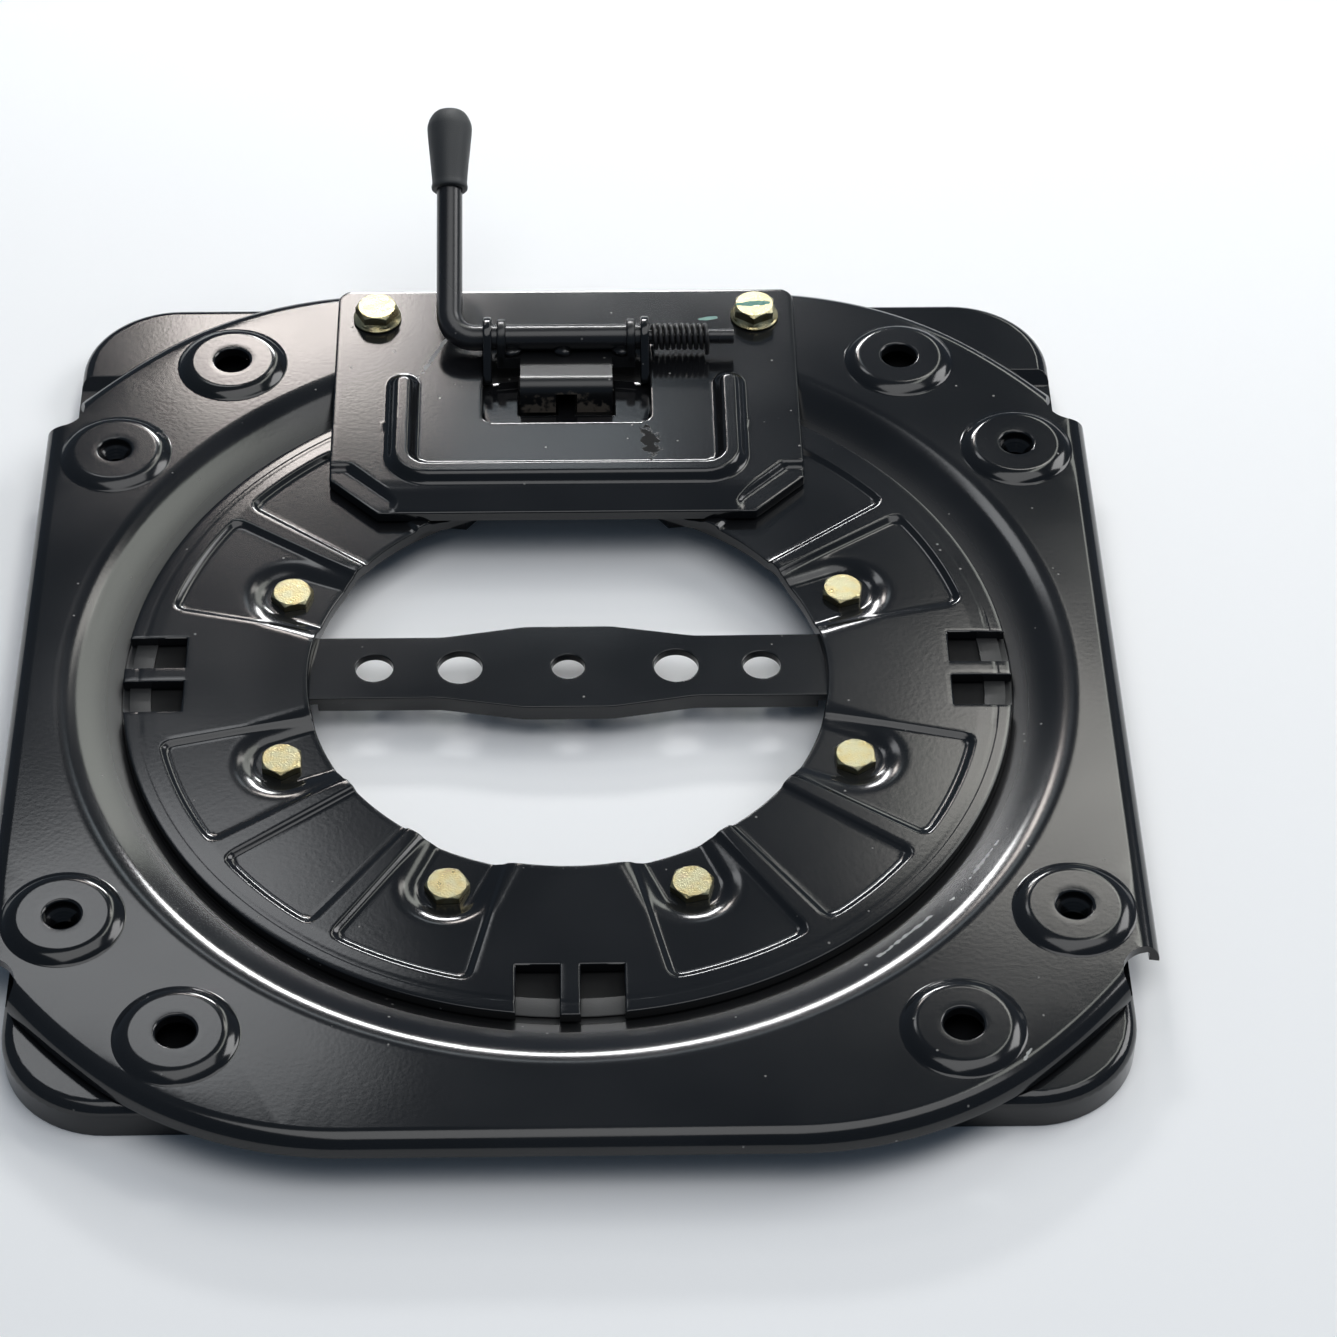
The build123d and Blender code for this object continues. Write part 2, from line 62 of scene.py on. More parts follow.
SEAT_HOLES = ((150.0, 102.0, 5.5), (113.6, 146.8, 6.0))
HOLE_DROP, HOLE_RUN = 0.5, 0.8
NUT_FOOT, NUT_CORNER, NUT_CHAMFER, RIB = 12.8, 1.1, 0.5, 0.75
SEAT_NUT_FLATS, SEAT_NUT_BORE, SEAT_NUT_HEAD = 17.0, 5.05, 19.28
LATCH_NUT_FLATS, LATCH_NUT_BORE, LATCH_NUT_HEAD = 13.0, 4.3, 16.78

# Latch plate
LATCH_TOP, LATCH_T, LATCH_DROP = 22.8, 3.0, 2.0
LATCH_HALF, LATCH_FRONT, LATCH_BACK = 78.5, 69.5, 180.1
LATCH_CHAMFER, LATCH_CORNER_R, LIP_BACK, LIP_FILLET, LIP_ROLL = 16.5, 5.0, 81.2, 0.5, 0.4
LOW_CORNER_X, LOW_CORNER_Y, LOW_CORNER_CUT = 57.0, 90.3, 15.5
LOW_CORNER_LEAD, LOW_CORNER_RUN, DROP_SPARE = 2.2, 3.0, 0.02
BEAD_X, BEAD_FRONT, BEAD_END, BEAD_BEND_R = 55.0, 86.7, 130.3, 9.0
BEAD_HALF, BEAD_STEP, BEAD_RISE = 5.7, 3.9, 3.0
WINDOW_HALF, WINDOW_FRONT, WINDOW_BACK, WINDOW_R, WINDOW_EASE = 28.2, 111.8, 156.3, 3.5, 9.0
SHAFT_Y, SHAFT_Z, ROD_R, EAR_R, EAR_FRONT = 147.3, 29.3, 4.4, 7.0, 31.0
LUG_EDGE, LUG_EDGE_STEP, LUG_PLAY, LUG_FAR, LUG_POINTS = 0.7, 0.2, 0.05, 60.0, 120

# Bolts; each disc bolt is turned by its own angle in radians.
BOLT_CIRCLE_R, DISC_BOLT_FLATS, DISC_BOLT_HEAD = 96.0, 12.0, 2.7
DISC_BOLT_TURNS = (0.35, 0.1, 0.8, 0.2, 0.55, 0.05, 0.25, 0.6)
LATCH_BOLT_X, LATCH_BOLT_Y, LATCH_BOLT_FLATS = 64.8, 165.3, 13.0
LATCH_BOLT_HEAD, LATCH_BOLT_FLANGE_R = 5.8, 8.2
CROWN_SHARE, CONE_SHARE, CENTRE_R = 0.96, 0.075, 0.01

# Lever, spring and tongue; the grip's profile is pairs of distance along the lever and radius.
LEVER_X, LEVER_ANGLE = -39.6, math.radians(28.0)
GRIP_PROFILE = ((54.4, 4.5), (54.4, 5.7), (54.8, 6.15), (55.6, 6.25), (56.4, 6.05), (57.4, 6.0),
                (60.0, 6.2), (65.0, 6.65), (70.0, 7.15), (75.0, 7.6), (77.0, 7.72), (78.4, 7.6),
                (80.0, 7.1), (81.4, 6.4), (82.4, 5.7), (83.0, 5.0), (83.3, 4.2), (83.3, 0.02))
SPRING_X, SPRING_PITCH, SPRING_TURNS, SPRING_R, WIRE_R = 29.4, 1.95, 9.5, 3.8, 0.8
LEG_LENGTH, LEG_START, LAST_LEG_SHARE = 5.4, 0.4, 0.8
TONGUE_T, TONGUE_HALF, TONGUE_TAIL, TONGUE_BEND = 4.0, 15.5, 151.3, 4.6
TOOTH_FRONT, TOOTH_TIP, TOOTH_IN = 123.8, 13.4, 3.6
YOKE_HALF, YOKE_T, CHEEK_R, LIFT = 23.5, 3.0, 6.2, math.radians(12.0)
WELD_PLACES, WELD_R, WELD_BACK, WELD_DROP = (-1.0, -18.6, 18.9), 2.1, 4.0, 3.4


# Blends and grid lines shared by the surfaces
def soft_min(a, b, k):
    """The smaller of two heights, with a parabolic fillet of height k where they meet."""
    h = np.clip(1 - np.abs(a - b) / k, 0, 1)
    return np.minimum(a, b) - h * h * k / 4


def soft_max(a, b, k):
    """The larger of two heights, with a parabolic fillet of height k where they meet."""
    return -soft_min(-a, -b, k)


def ease(t):
    """Smooth step from 0 to 1 as t goes from 0 to 1."""
    t = np.clip(t, 0, 1)
    return t * t * (3 - 2 * t)


def edge_drop(distance, drop=0.4, run=0.6):
    """Fall of a rounded sheet edge: a square curve from nothing at the run to the drop at the edge."""
    return drop * np.clip(1 - distance / run, 0, 1) ** 2


def lines(low, high, step, marks=()):
    """Grid lines from low to high about step apart, with a line on every mark."""
    base = np.linspace(low, high, max(2, int(round((high - low) / step)) + 1))
    marks = np.asarray([m for m in marks if low <= m <= high], float)
    if len(marks):
        near = np.abs(base[:, None] - marks[None, :]).min(axis=1) < 0.45 * step
        near[[0, -1]] = False
        base = np.concatenate([base[~near], marks])
    return np.unique(np.round(base, 6))


def full_turn(count):
    """Angles of a closed ring of points."""
    return np.linspace(0, 2 * np.pi, count, endpoint=False)


# Sheets: a sheet is (points, faces), and a piece is made of one or more of them
def surface(points, wrap_rows=False, wrap_cols=False):
    """Faces of a grid of points; a wrapped direction joins its last line to its first."""
    rows, cols = points.shape[:2]
    index = np.arange(rows * cols).reshape(rows, cols)
    if wrap_rows:
        index = np.vstack([index, index[:1]])
    if wrap_cols:
        index = np.hstack([index, index[:, :1]])
    return points.reshape(-1, 3), cells(index).reshape(-1, 4)


def cells(index):
    """The four corners of every cell of a grid of point numbers."""
    return np.stack([index[:-1, :-1], index[1:, :-1], index[1:, 1:], index[:-1, 1:]], axis=-1)


def thick(top, under, keep=None, wrap=False, open_first=False, open_last=False):
    """A sheet with a top grid, an underside grid, and walls round every edge of the kept cells.

    open_first and open_last leave the first or last row without a wall, where another sheet joins.
    """
    rows, cols = top.shape[:2]
    index = np.arange(rows * cols).reshape(rows, cols)
    if wrap:
        index = np.hstack([index, index[:, :1]])
    if keep is None:
        keep = np.ones((rows - 1, index.shape[1] - 1), bool)
    quads = cells(index)[keep]
    count = rows * cols
    across = np.pad(keep, ((1, 1), (0, 0)))
    edge = across[1:] != across[:-1]
    edge[0] &= not open_first
    edge[-1] &= not open_last
    ends = np.stack([index[:, :-1][edge], index[:, 1:][edge]], axis=-1)
    if wrap:
        along = np.hstack([keep[:, -1:], keep, keep[:, :1]])
        side = along[:, 1:] != along[:, :-1]
        side[:, -1] = False
    else:
        along = np.pad(keep, ((0, 0), (1, 1)))
        side = along[:, 1:] != along[:, :-1]
    ends = np.vstack([ends, np.stack([index[:-1][side], index[1:][side]], axis=-1)])
    walls = np.stack([ends[:, 0], ends[:, 1], ends[:, 1] + count, ends[:, 0] + count], axis=-1)
    points = np.vstack([top.reshape(-1, 3), under.reshape(-1, 3)])
    return points, np.vstack([quads, quads[:, ::-1] + count, walls])


def pressed(top, depth, **options):
    """A sheet of even depth under its top grid."""
    return thick(top, top - np.array([0, 0, depth]), **options)


def turned(radius, height, count, centre=(0.0, 0.0)):
    """A profile (radius, height) carried round an upright axis, with one row per profile point."""
    angle = full_turn(count)
    grid = np.empty((len(radius), count, 3))
    grid[..., 0] = centre[0] + np.outer(radius, np.cos(angle))
    grid[..., 1] = centre[1] + np.outer(radius, np.sin(angle))
    grid[..., 2] = np.asarray(height)[:, None]
    return grid


def stacked(centre, turn, rows):
    """Closed skin of rings about an upright axis; a row is the reach at each angle, and a height."""
    x, y = centre
    rings = [np.stack([x + r * np.cos(turn), y + r * np.sin(turn), np.full_like(turn, z)], axis=-1)
             for r, z in rows]
    return surface(np.stack(rings), wrap_rows=True, wrap_cols=True)


def hexagon(flats, turn):
    """Reach of a hexagon at an angle, from its width across flats."""
    return flats / 2 / np.cos(np.mod(turn, math.pi / 3) - math.pi / 6)


def piece(name, sheets, body, paint, replaced, sharp=35.0):
    """One mesh from its sheets: joined where they touch, faced outwards, in metres, on its body."""
    start = np.cumsum([0] + [len(p) for p, _ in sheets])
    points = np.vstack([p for p, _ in sheets]) * 0.001
    faces = [row for (_, f), s in zip(sheets, start) for row in (f + s).tolist()]
    mesh = bpy.data.meshes.new(name)
    mesh.from_pydata(points.tolist(), [], faces)
    work = bmesh.new()
    work.from_mesh(mesh)
    bmesh.ops.remove_doubles(work, verts=work.verts, dist=2e-6)
    bmesh.ops.recalc_face_normals(work, faces=work.faces)
    work.to_mesh(mesh)
    work.free()
    mesh.shade_smooth()
    mesh.set_sharp_from_angle(angle=math.radians(sharp))
    made = bpy.data.objects.new(name, mesh)
    bpy.context.scene.collection.objects.link(made)
    mesh.materials.append(paint)
    normals = made.modifiers.new("flat_faces_lead", "WEIGHTED_NORMAL")
    normals.keep_sharp = True
    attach(made, body)
    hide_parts(*replaced)
    return made


# Materials
def new_group(name, inputs, outputs):
    """An empty shader node group with named number and vector sockets, and number outputs."""
    group = bpy.data.node_groups.new(name, "ShaderNodeTree")
    for label, value in inputs:
        kind = "NodeSocketVector" if isinstance(value, tuple) else "NodeSocketFloat"
        socket = group.interface.new_socket(name=label, in_out="INPUT", socket_type=kind)
        socket.default_value = value
    for label in outputs:
        group.interface.new_socket(name=label, in_out="OUTPUT", socket_type="NodeSocketFloat")
    return group


class Nodes:
    """Short ways to add and join nodes in one tree."""

    def __init__(self, tree):
        self.tree = tree

    def add(self, kind, **values):
        node = self.tree.nodes.new(kind)
        for key, value in values.items():
            setattr(node, key, value)
        return node

    def join(self, source, target):
        self.tree.links.new(source, target)

    def feed(self, socket, value):
        if hasattr(value, "is_output"):
            self.join(value, socket)
        else:
            socket.default_value = value

    def math(self, operation, a, b=0.0):
        node = self.add("ShaderNodeMath", operation=operation)
        for socket, value in zip(node.inputs, (a, b)):
            self.feed(socket, value)
        return node.outputs[0]

    def vector(self, operation, a, b=None):
        node = self.add("ShaderNodeVectorMath", operation=operation)
        self.feed(node.inputs[0], a)
        if b is not None:
            self.feed(node.inputs[1], b)
        return node.outputs

    def noise(self, place, scale, detail=3.0):
        node = self.add("ShaderNodeTexNoise")
        for label, value in (("Vector", place), ("Scale", scale), ("Detail", detail)):
            self.feed(node.inputs[label], value)
        return node.outputs["Fac"]

    def band(self, value, low, high, out_low=0.0, out_high=1.0):
        node = self.add("ShaderNodeMapRange", interpolation_type="SMOOTHSTEP")
        for socket, number in zip(node.inputs[:5], (value, low, high, out_low, out_high)):
            self.feed(socket, number)
        return node.outputs[0]

    def blend(self, amount, a, b):
        node = self.add("ShaderNodeMix", data_type="RGBA")
        for k, value in ((0, amount), (6, a), (7, b)):
            self.feed(node.inputs[k], value)
        return node.outputs[2]

    def group(self, group, **values):
        node = self.add("ShaderNodeGroup")
        node.node_tree = group
        for key, value in values.items():
            self.feed(node.inputs[key.replace("_", " ")], value)
        return node.outputs

    def ends(self):
        return self.add("NodeGroupInput").outputs, self.add("NodeGroupOutput").inputs


def finish_skin_group():
    """Paint or plating skin: slow cloudiness, a fine orange-peel height, and settled dust specks."""
    group = new_group("finish_skin", (("Place", (0, 0, 0)), ("Peel Size", 700.0), ("Cloud Size", 18.0),
                                      ("Dust", 0.5)), ("Cloud", "Peel", "Specks"))
    n = Nodes(group)
    ins, out = n.ends()
    spots = n.add("ShaderNodeTexVoronoi")
    n.join(ins["Place"], spots.inputs["Vector"])
    spots.inputs["Scale"].default_value = 260.0
    seed = n.add("ShaderNodeTexWhiteNoise")
    n.join(spots.outputs["Position"], seed.inputs["Vector"])
    limit = n.math("SUBTRACT", 1.0, n.math("MULTIPLY", ins["Dust"], 0.12))
    few = n.math("GREATER_THAN", seed.outputs["Value"], limit)
    spot = n.band(spots.outputs["Distance"], 0.05, 0.14, 1.0, 0.0)
    n.join(n.noise(ins["Place"], ins["Cloud Size"], 2.0), out["Cloud"])
    n.join(n.noise(ins["Place"], ins["Peel Size"], 1.0), out["Peel"])
    n.join(n.math("MULTIPLY", few, spot), out["Specks"])
    return group


def surface_mark_group():
    """A mark seen from above: an ellipse turned to an angle, with an edge broken up by noise."""
    group = new_group("surface_mark", (("Place", (0, 0, 0)), ("Middle", (0, 0, 0)), ("Angle", 0.0),
                                       ("Half Length", 0.01), ("Half Width", 0.01), ("Broken", 0.0)),
                      ("Mask",))
    n = Nodes(group)
    ins, out = n.ends()
    turned_place = n.add("ShaderNodeVectorRotate", rotation_type="Z_AXIS")
    n.join(ins["Place"], turned_place.inputs["Vector"])
    n.join(ins["Middle"], turned_place.inputs["Center"])
    n.join(n.math("MULTIPLY", ins["Angle"], -1.0), turned_place.inputs["Angle"])
    away = n.vector("SUBTRACT", turned_place.outputs["Vector"], ins["Middle"])
    axes = n.add("ShaderNodeSeparateXYZ")
    n.join(away["Vector"], axes.inputs["Vector"])
    along = n.math("DIVIDE", axes.outputs["X"], ins["Half Length"])
    across = n.math("DIVIDE", axes.outputs["Y"], ins["Half Width"])
    squares = n.math("ADD", n.math("MULTIPLY", along, along), n.math("MULTIPLY", across, across))
    rough_edge = n.math("SUBTRACT", n.noise(ins["Place"], 420.0), 0.45)
    grain = n.math("MULTIPLY", rough_edge, n.math("MULTIPLY", ins["Broken"], 4.0))
    reach = n.math("ADD", n.math("SQRT", squares), grain)
    n.join(n.band(reach, 0.9, 1.08, 1.0, 0.0), out["Mask"])
    return group


skin_group = finish_skin_group()
mark_group = surface_mark_group()


def start_material(name):
    """A material with its Principled shader and the Object coordinate."""
    material = bpy.data.materials.new(name)
    material.use_nodes = True
    n = Nodes(material.node_tree)
    shader = material.node_tree.nodes["Principled BSDF"]
    place = n.add("ShaderNodeTexCoord").outputs["Object"]
    return material, n, shader.inputs, place


def bump(n, shader, height, strength, distance=0.0003):
    """Surface relief from a height."""
    node = n.add("ShaderNodeBump")
    n.join(height, node.inputs["Height"])
    node.inputs["Strength"].default_value = strength
    node.inputs["Distance"].default_value = distance
    n.join(node.outputs["Normal"], shader["Normal"])


def marked(n, place, colour, rough, marks):
    """Colour and roughness with marks laid over them: scratches, stains and paint, and also painted shade
    and painted light.

    A mark is x, y, angle in degrees, half length, half width, broken, colour and roughness, in metres.
    """
    cover = 0.0
    for x, y, angle, length, width, broken, shade, dull in marks:
        mask = n.group(mark_group, Place=place, Middle=(x, y, 0), Angle=math.radians(angle),
                       Half_Length=length, Half_Width=width, Broken=broken)["Mask"]
        colour = n.blend(mask, colour, shade)
        rough = n.math("ADD", rough, n.math("MULTIPLY", mask, n.math("SUBTRACT", dull, rough)))
        cover = n.math("MAXIMUM", cover, mask)
    return colour, rough, cover


# The rod's lighter black is painted sheen: the gloss black lightened to stand in for the rod's
# highlights.
BLACK, ROD_PAINTED_SHEEN_BLACK = (0.0058, 0.0061, 0.0068, 1), (0.011, 0.011, 0.012, 1)
SPRING_BLACK, DUST_GREY = (0.014, 0.013, 0.013, 1), (0.35, 0.34, 0.32, 1)
GOLD, OLIVE, ROSE = (0.45, 0.38, 0.20, 1), (0.42, 0.40, 0.26, 1), (0.38, 0.28, 0.19, 1)
GREEN, BARE = (0.0, 0.15, 0.11, 1), (0.32, 0.32, 0.31, 1)
# Near-black for a real stain on the latch plate and for painted shade under the retainer disc; pale brown
# for painted light on the tongue's teeth.
STAIN_AND_PAINTED_SHADE, TOOTH_PAINTED_LIGHT = (0.003, 0.003, 0.003, 1), (0.085, 0.07, 0.055, 1)
RUBBER_DARK, RUBBER_PALE = (0.028, 0.030, 0.031, 1), (0.046, 0.048, 0.049, 1)
PLASTIC_DARK, PLASTIC_PALE = (0.018, 0.018, 0.018, 1), (0.026, 0.026, 0.026, 1)
FLOOR_DARK, FLOOR_PALE = (0.93, 0.93, 0.93, 1), (0.95, 0.95, 0.95, 1)
DUST_RING_R, DUST_RING_NEAR, DUST_RING_FAR, DUST_RING_TIMES = 0.139, 0.004, 0.010, 2.6


def gloss_black(name, tint=BLACK, shine=0.13, dust=0.5, marks=()):
    """Black gloss dip paint, with most of its dust caught in the ring where the plates meet."""
    material, n, shader, place = start_material(name)
    plan = n.vector("MULTIPLY", place, (1, 1, 0))["Vector"]
    reach = n.vector("LENGTH", plan)["Value"]
    ring = n.math("ABSOLUTE", n.math("SUBTRACT", reach, DUST_RING_R))
    caught = n.band(ring, DUST_RING_NEAR, DUST_RING_FAR, dust * DUST_RING_TIMES, dust)
    skin = n.group(skin_group, Place=place, Dust=caught)
    cloud, specks = skin["Cloud"], skin["Specks"]
    shade = n.blend(n.band(cloud, 0.3, 0.7), tint, (*(1.6 * c for c in tint[:3]), 1))
    colour = n.blend(n.math("MULTIPLY", specks, 0.5), shade, DUST_GREY)
    rough = n.math("ADD", n.math("MULTIPLY", cloud, 0.10), shine - 0.05)
    rough = n.math("ADD", rough, n.math("MULTIPLY", specks, 0.3))
    colour, rough, _ = marked(n, place, colour, rough, marks)
    n.join(colour, shader["Base Color"])
    n.join(rough, shader["Roughness"])
    bump(n, shader, skin["Peel"], 0.02, 0.0004)
    return material


def yellow_zinc(name, marks=()):
    """Yellow zinc plating: pale gold with olive and rose clouds over a slightly grainy head."""
    material, n, shader, place = start_material(name)
    skin = n.group(skin_group, Place=place, Dust=0.2, Cloud_Size=220.0, Peel_Size=1600.0)
    gold = n.blend(n.band(skin["Cloud"], 0.35, 0.65), GOLD, OLIVE)
    rose = n.band(n.noise(place, 340.0), 0.55, 0.75)
    colour = n.blend(n.math("MULTIPLY", rose, 0.5), gold, ROSE)
    rough = n.band(skin["Cloud"], 0.3, 0.7, 0.27, 0.42)
    colour, rough, cover = marked(n, place, colour, rough, marks)
    n.join(colour, shader["Base Color"])
    n.join(rough, shader["Roughness"])
    shader["Metallic"].default_value = 1.0
    if marks:
        n.join(n.math("SUBTRACT", 1.0, cover), shader["Metallic"])
    bump(n, shader, skin["Peel"], 0.4)
    return material


def moulded(name, dark, pale, rough, relief, **skin_values):
    """Moulded rubber or plastic: two close greys in clouds, with a fine matt grain."""
    material, n, shader, place = start_material(name)
    skin = n.group(skin_group, Place=place, **skin_values)
    n.join(n.blend(skin["Cloud"], dark, pale), shader["Base Color"])
    n.join(n.band(skin["Cloud"], 0.2, 0.8, *rough), shader["Roughness"])
    bump(n, shader, skin["Peel"], relief)
    return material


# The first mark is painted shade: a darker, matt disc over the sunken rim under the retainer disc, where
# shade falls; the other three are bare scratches.
PLATE_SCRATCHES_AND_PAINTED_SHADE = ((0, 0, 0, 0.1405, 0.1405, 0.0, STAIN_AND_PAINTED_SHADE, 0.95),
               (0.1015, -0.1085, 43, 0.016, 0.0006, 0.9, BARE, 0.5),
               (0.1245, -0.0815, 57, 0.012, 0.0005, 0.9, BARE, 0.5),
               (0.131, -0.159, 60, 0.0035, 0.0006, 1.0, BARE, 0.5))
LATCH_MARKS = ((0.0493, 0.1645, 9, 0.0035, 0.0010, 0.25, GREEN, 0.35),
               (-0.0456, 0.1441, 65.6, 0.0125, 0.0008, 0.6, BARE, 0.5),
               (0.0277, 0.1022, 100, 0.0070, 0.0032, 0.6, STAIN_AND_PAINTED_SHADE, 0.9))
# Painted light: a paler brown band on the teeth's front faces, where they catch light.
TOOTH_PAINTED_LIGHT_MARKS = ((0, 0.1185, 0, 0.024, 0.0037, 0.3, TOOTH_PAINTED_LIGHT, 0.5),)
BOLT_MARKS = ((0.0648, 0.1653, 6, 0.0066, 0.0014, 0.4, GREEN, 0.4),)

black = gloss_black("gloss_black")
plate_black_painted_shade = gloss_black("plate_black_painted_shade", marks=PLATE_SCRATCHES_AND_PAINTED_SHADE)
latch_black = gloss_black("latch_black", marks=LATCH_MARKS)
tongue_black_painted_light = gloss_black("tongue_black_painted_light", shine=0.3, marks=TOOTH_PAINTED_LIGHT_MARKS)
rod_painted_sheen_black = gloss_black("rod_painted_sheen_black", tint=ROD_PAINTED_SHEEN_BLACK, shine=0.27)
marked_zinc = yellow_zinc("yellow_zinc_marked", marks=BOLT_MARKS)
spring_black = gloss_black("spring_black", tint=SPRING_BLACK, shine=0.32, dust=0.2)
zinc = yellow_zinc("yellow_zinc")
rubber = moulded("grip_rubber", RUBBER_DARK, RUBBER_PALE, (0.48, 0.62), 0.25,
                 Dust=0.8, Cloud_Size=60.0, Peel_Size=2600.0)
plastic = moulded("slide_plastic", PLASTIC_DARK, PLASTIC_PALE, (0.5, 0.65), 0.1,
                  Dust=0.3, Cloud_Size=40.0, Peel_Size=1500.0)


# Retainer disc
def panel_inside(r, angle, start, end):
    """Distance inside a sector panel, from its radial sides and outer arc, with rounded corners."""
    side = r * np.minimum(np.sin(angle - math.radians(start)), np.sin(math.radians(end) - angle))
    outer = PANEL_R - r
    short_side, short_outer = PANEL_CORNER_R - side, PANEL_CORNER_R - outer
    corner = PANEL_CORNER_R - np.hypot(np.maximum(short_side, 0), np.maximum(short_outer, 0))
    return np.where((short_side > 0) & (short_outer > 0), corner, np.minimum(side, outer))


def disc_height(r, angle):
    """Top face of the disc: flat, less the panels' smooth steps, with a trough at each bolt."""
    quarter = np.mod(angle, math.pi / 2)
    a, b, c = PANEL_SIDES
    panels = ((a, b), (c, 90 - c), (90 - b, 90 - a))
    inside = np.max([panel_inside(r, quarter, start, end) for start, end in panels], axis=0)
    face = DISC_TOP - PANEL_DEPTH * ease(inside / PANEL_STEP_RUN + PANEL_STEP_START)
    eighth = np.mod(angle, math.pi / 4) - math.pi / 8
    along = r * np.cos(eighth) - BOLT_CIRCLE_R
    away = np.hypot(np.maximum(along, 0), r * np.sin(eighth))
    flare = POCKET_FLOOR + (away - POCKET_R) / POCKET_FLARE
    face = soft_min(face, soft_max(flare, POCKET_FLOOR, POCKET_FILLET), POCKET_ROLL)
    line = np.clip(1 - np.abs(r - MARGIN_LINE_R) / MARGIN_LINE_HALF, 0, 1)
    face = face - MARGIN_FALL * np.maximum(r - PANEL_R, 0) - MARGIN_LINE_DEPTH * line
    edge = np.minimum(r - DISC_HOLE_R, DISC_R - r)
    spot = np.mod(angle + math.pi / 4, math.pi / 2) - math.pi / 4
    across, depth = np.abs(r * np.sin(spot)), r * np.cos(spot)
    beside = np.maximum(np.maximum(NOTCH_IN - across, across - NOTCH_OUT), NOTCH_R - depth)
    return face - edge_drop(np.minimum(edge, np.maximum(beside, 0)))


def retainer_disc():
    """The disc as a polar grid; by the notches its angle lines run parallel and its circles flatten."""
    walls = [m + d for m in PANEL_SIDES for d in (-0.35, -0.1, 0.15, 0.4, 0.65, 0.9)]
    steps = (0.0, 0.3, 0.6)
    notch_lines = [NOTCH_IN - d for d in steps] + [NOTCH_OUT + d for d in steps]
    marks = walls + [math.degrees(math.asin(d / NOTCH_LINE_R)) for d in notch_lines]
    local = np.radians(lines(-45, 45, 0.62, marks + [-m for m in marks])[:-1])
    quarter = np.concatenate([local + k * math.pi / 2 for k in range(4)])
    local = np.tile(local, 4)
    circles = ((DISC_HOLE_R, (0.3, 0.6)), (NOTCH_R, (-0.6, -0.3, 0.0)), (DISC_R, (-0.6, -0.3)),
               (PANEL_R, (-1.7, -1.1, -0.5, 0.1, 0.7)), (MARGIN_LINE_R, (-0.5, 0.0, 0.5)))
    radii = lines(DISC_HOLE_R, DISC_R, 1.05, [c + d for c, offsets in circles for d in offsets])
    by_notch = np.abs(local) < NOTCH_REACH
    r = np.broadcast_to(radii[:, None], (len(radii), len(local)))
    lean = np.clip(NOTCH_LINE_R * np.sin(local)[None, :] / np.maximum(r, NOTCH_R), -1, 1)
    turn = quarter[None, :] + (np.arcsin(lean) - local[None, :]) * by_notch[None, :]
    fade = np.clip(1 - np.abs(r - NOTCH_R) / FLATTEN_RUN, 0, 1)
    r = r * (1 + fade * np.clip(1 / np.cos(np.clip(local, -0.2, 0.2)) - 1, 0, 0.02)[None, :])
    top = np.stack([r * np.cos(turn), r * np.sin(turn), disc_height(r, turn)], axis=-1)
    middle = np.abs(NOTCH_LINE_R * np.sin((local + np.roll(local, -1)) / 2))
    notch = (middle > NOTCH_IN) & (middle < NOTCH_OUT) & by_notch
    cut = notch[None, :] & (radii[:-1, None] >= NOTCH_R - 0.01)
    return pressed(top, DISC_T, keep=~cut, wrap=True)


piece("pressed_disc", [retainer_disc()], "base", black, ["retainer_disc"], sharp=50)


# Upper plate
def edge_profile(count=9):
    """Outer and inner lines of the turned-down edge, as (distance in from the outline, height)."""
    turn = np.linspace(0, math.pi / 2, count)
    drop = np.linspace(0, 1, 4)[1:]
    profile = []
    for inset, radius in ((0.0, EDGE_R), (PLATE_T, EDGE_INNER_R)):
        arc = np.stack([inset + radius * (1 - np.sin(turn)),
                        PLATE_TOP - inset - radius * (1 - np.cos(turn))], axis=-1)
        end, height = arc[-1]
        foot = np.stack([np.full(len(drop), end), height + (FLANGE_FOOT - height) * drop], axis=-1)
        profile.append(np.vstack([arc, foot]))
    outer, inner = profile
    inner[0, 0] = outer[0, 0]
    return outer, inner


def side_path(inset, count=24):
    """Straight right side at a distance in from the outline, from relief to relief."""
    x = PLATE_HALF_X - inset
    end = RELIEF_Y - math.sqrt(RELIEF_R ** 2 - (x - RELIEF_X) ** 2)
    return np.stack([np.full(count, x), np.linspace(-end, end, count)], axis=-1)


def arc_line(x, y, radius, turn):
    """Plan points on a circle."""
    return np.stack([x + radius * np.cos(turn), y + radius * np.sin(turn)], axis=-1)


def back_path(inset, count=60):
    """Back edge: corner arc from the right relief, easing arc, straight, and the same mirrored."""
    big = PLATE_CORNER_R - inset
    half = PLATE_HALF_Y
    ease_r = PLATE_BLEND_RUN / math.tan(math.acos(half / PLATE_CORNER_R) / 2)
    cx = math.sqrt((PLATE_CORNER_R - ease_r) ** 2 - (half - ease_r) ** 2)
    cy = half - ease_r
    relief = math.hypot(RELIEF_X, RELIEF_Y)
    reach = (big ** 2 + relief ** 2 - RELIEF_R ** 2) / (2 * big * relief)
    start = math.atan2(RELIEF_Y, RELIEF_X) + math.acos(reach)
    meet = math.atan2(cy, cx)
    arc = arc_line(0, 0, big, np.linspace(start, meet, count // 3, endpoint=False))
    bend = arc_line(cx, cy, ease_r - inset, np.linspace(meet, math.pi / 2, count // 2, endpoint=False))
    straight = np.stack([np.linspace(cx, 0, 6), np.full(6, half - inset)], axis=-1)
    right = np.vstack([arc, bend, straight])
    return np.vstack([right, right[-2::-1] * (-1, 1)])


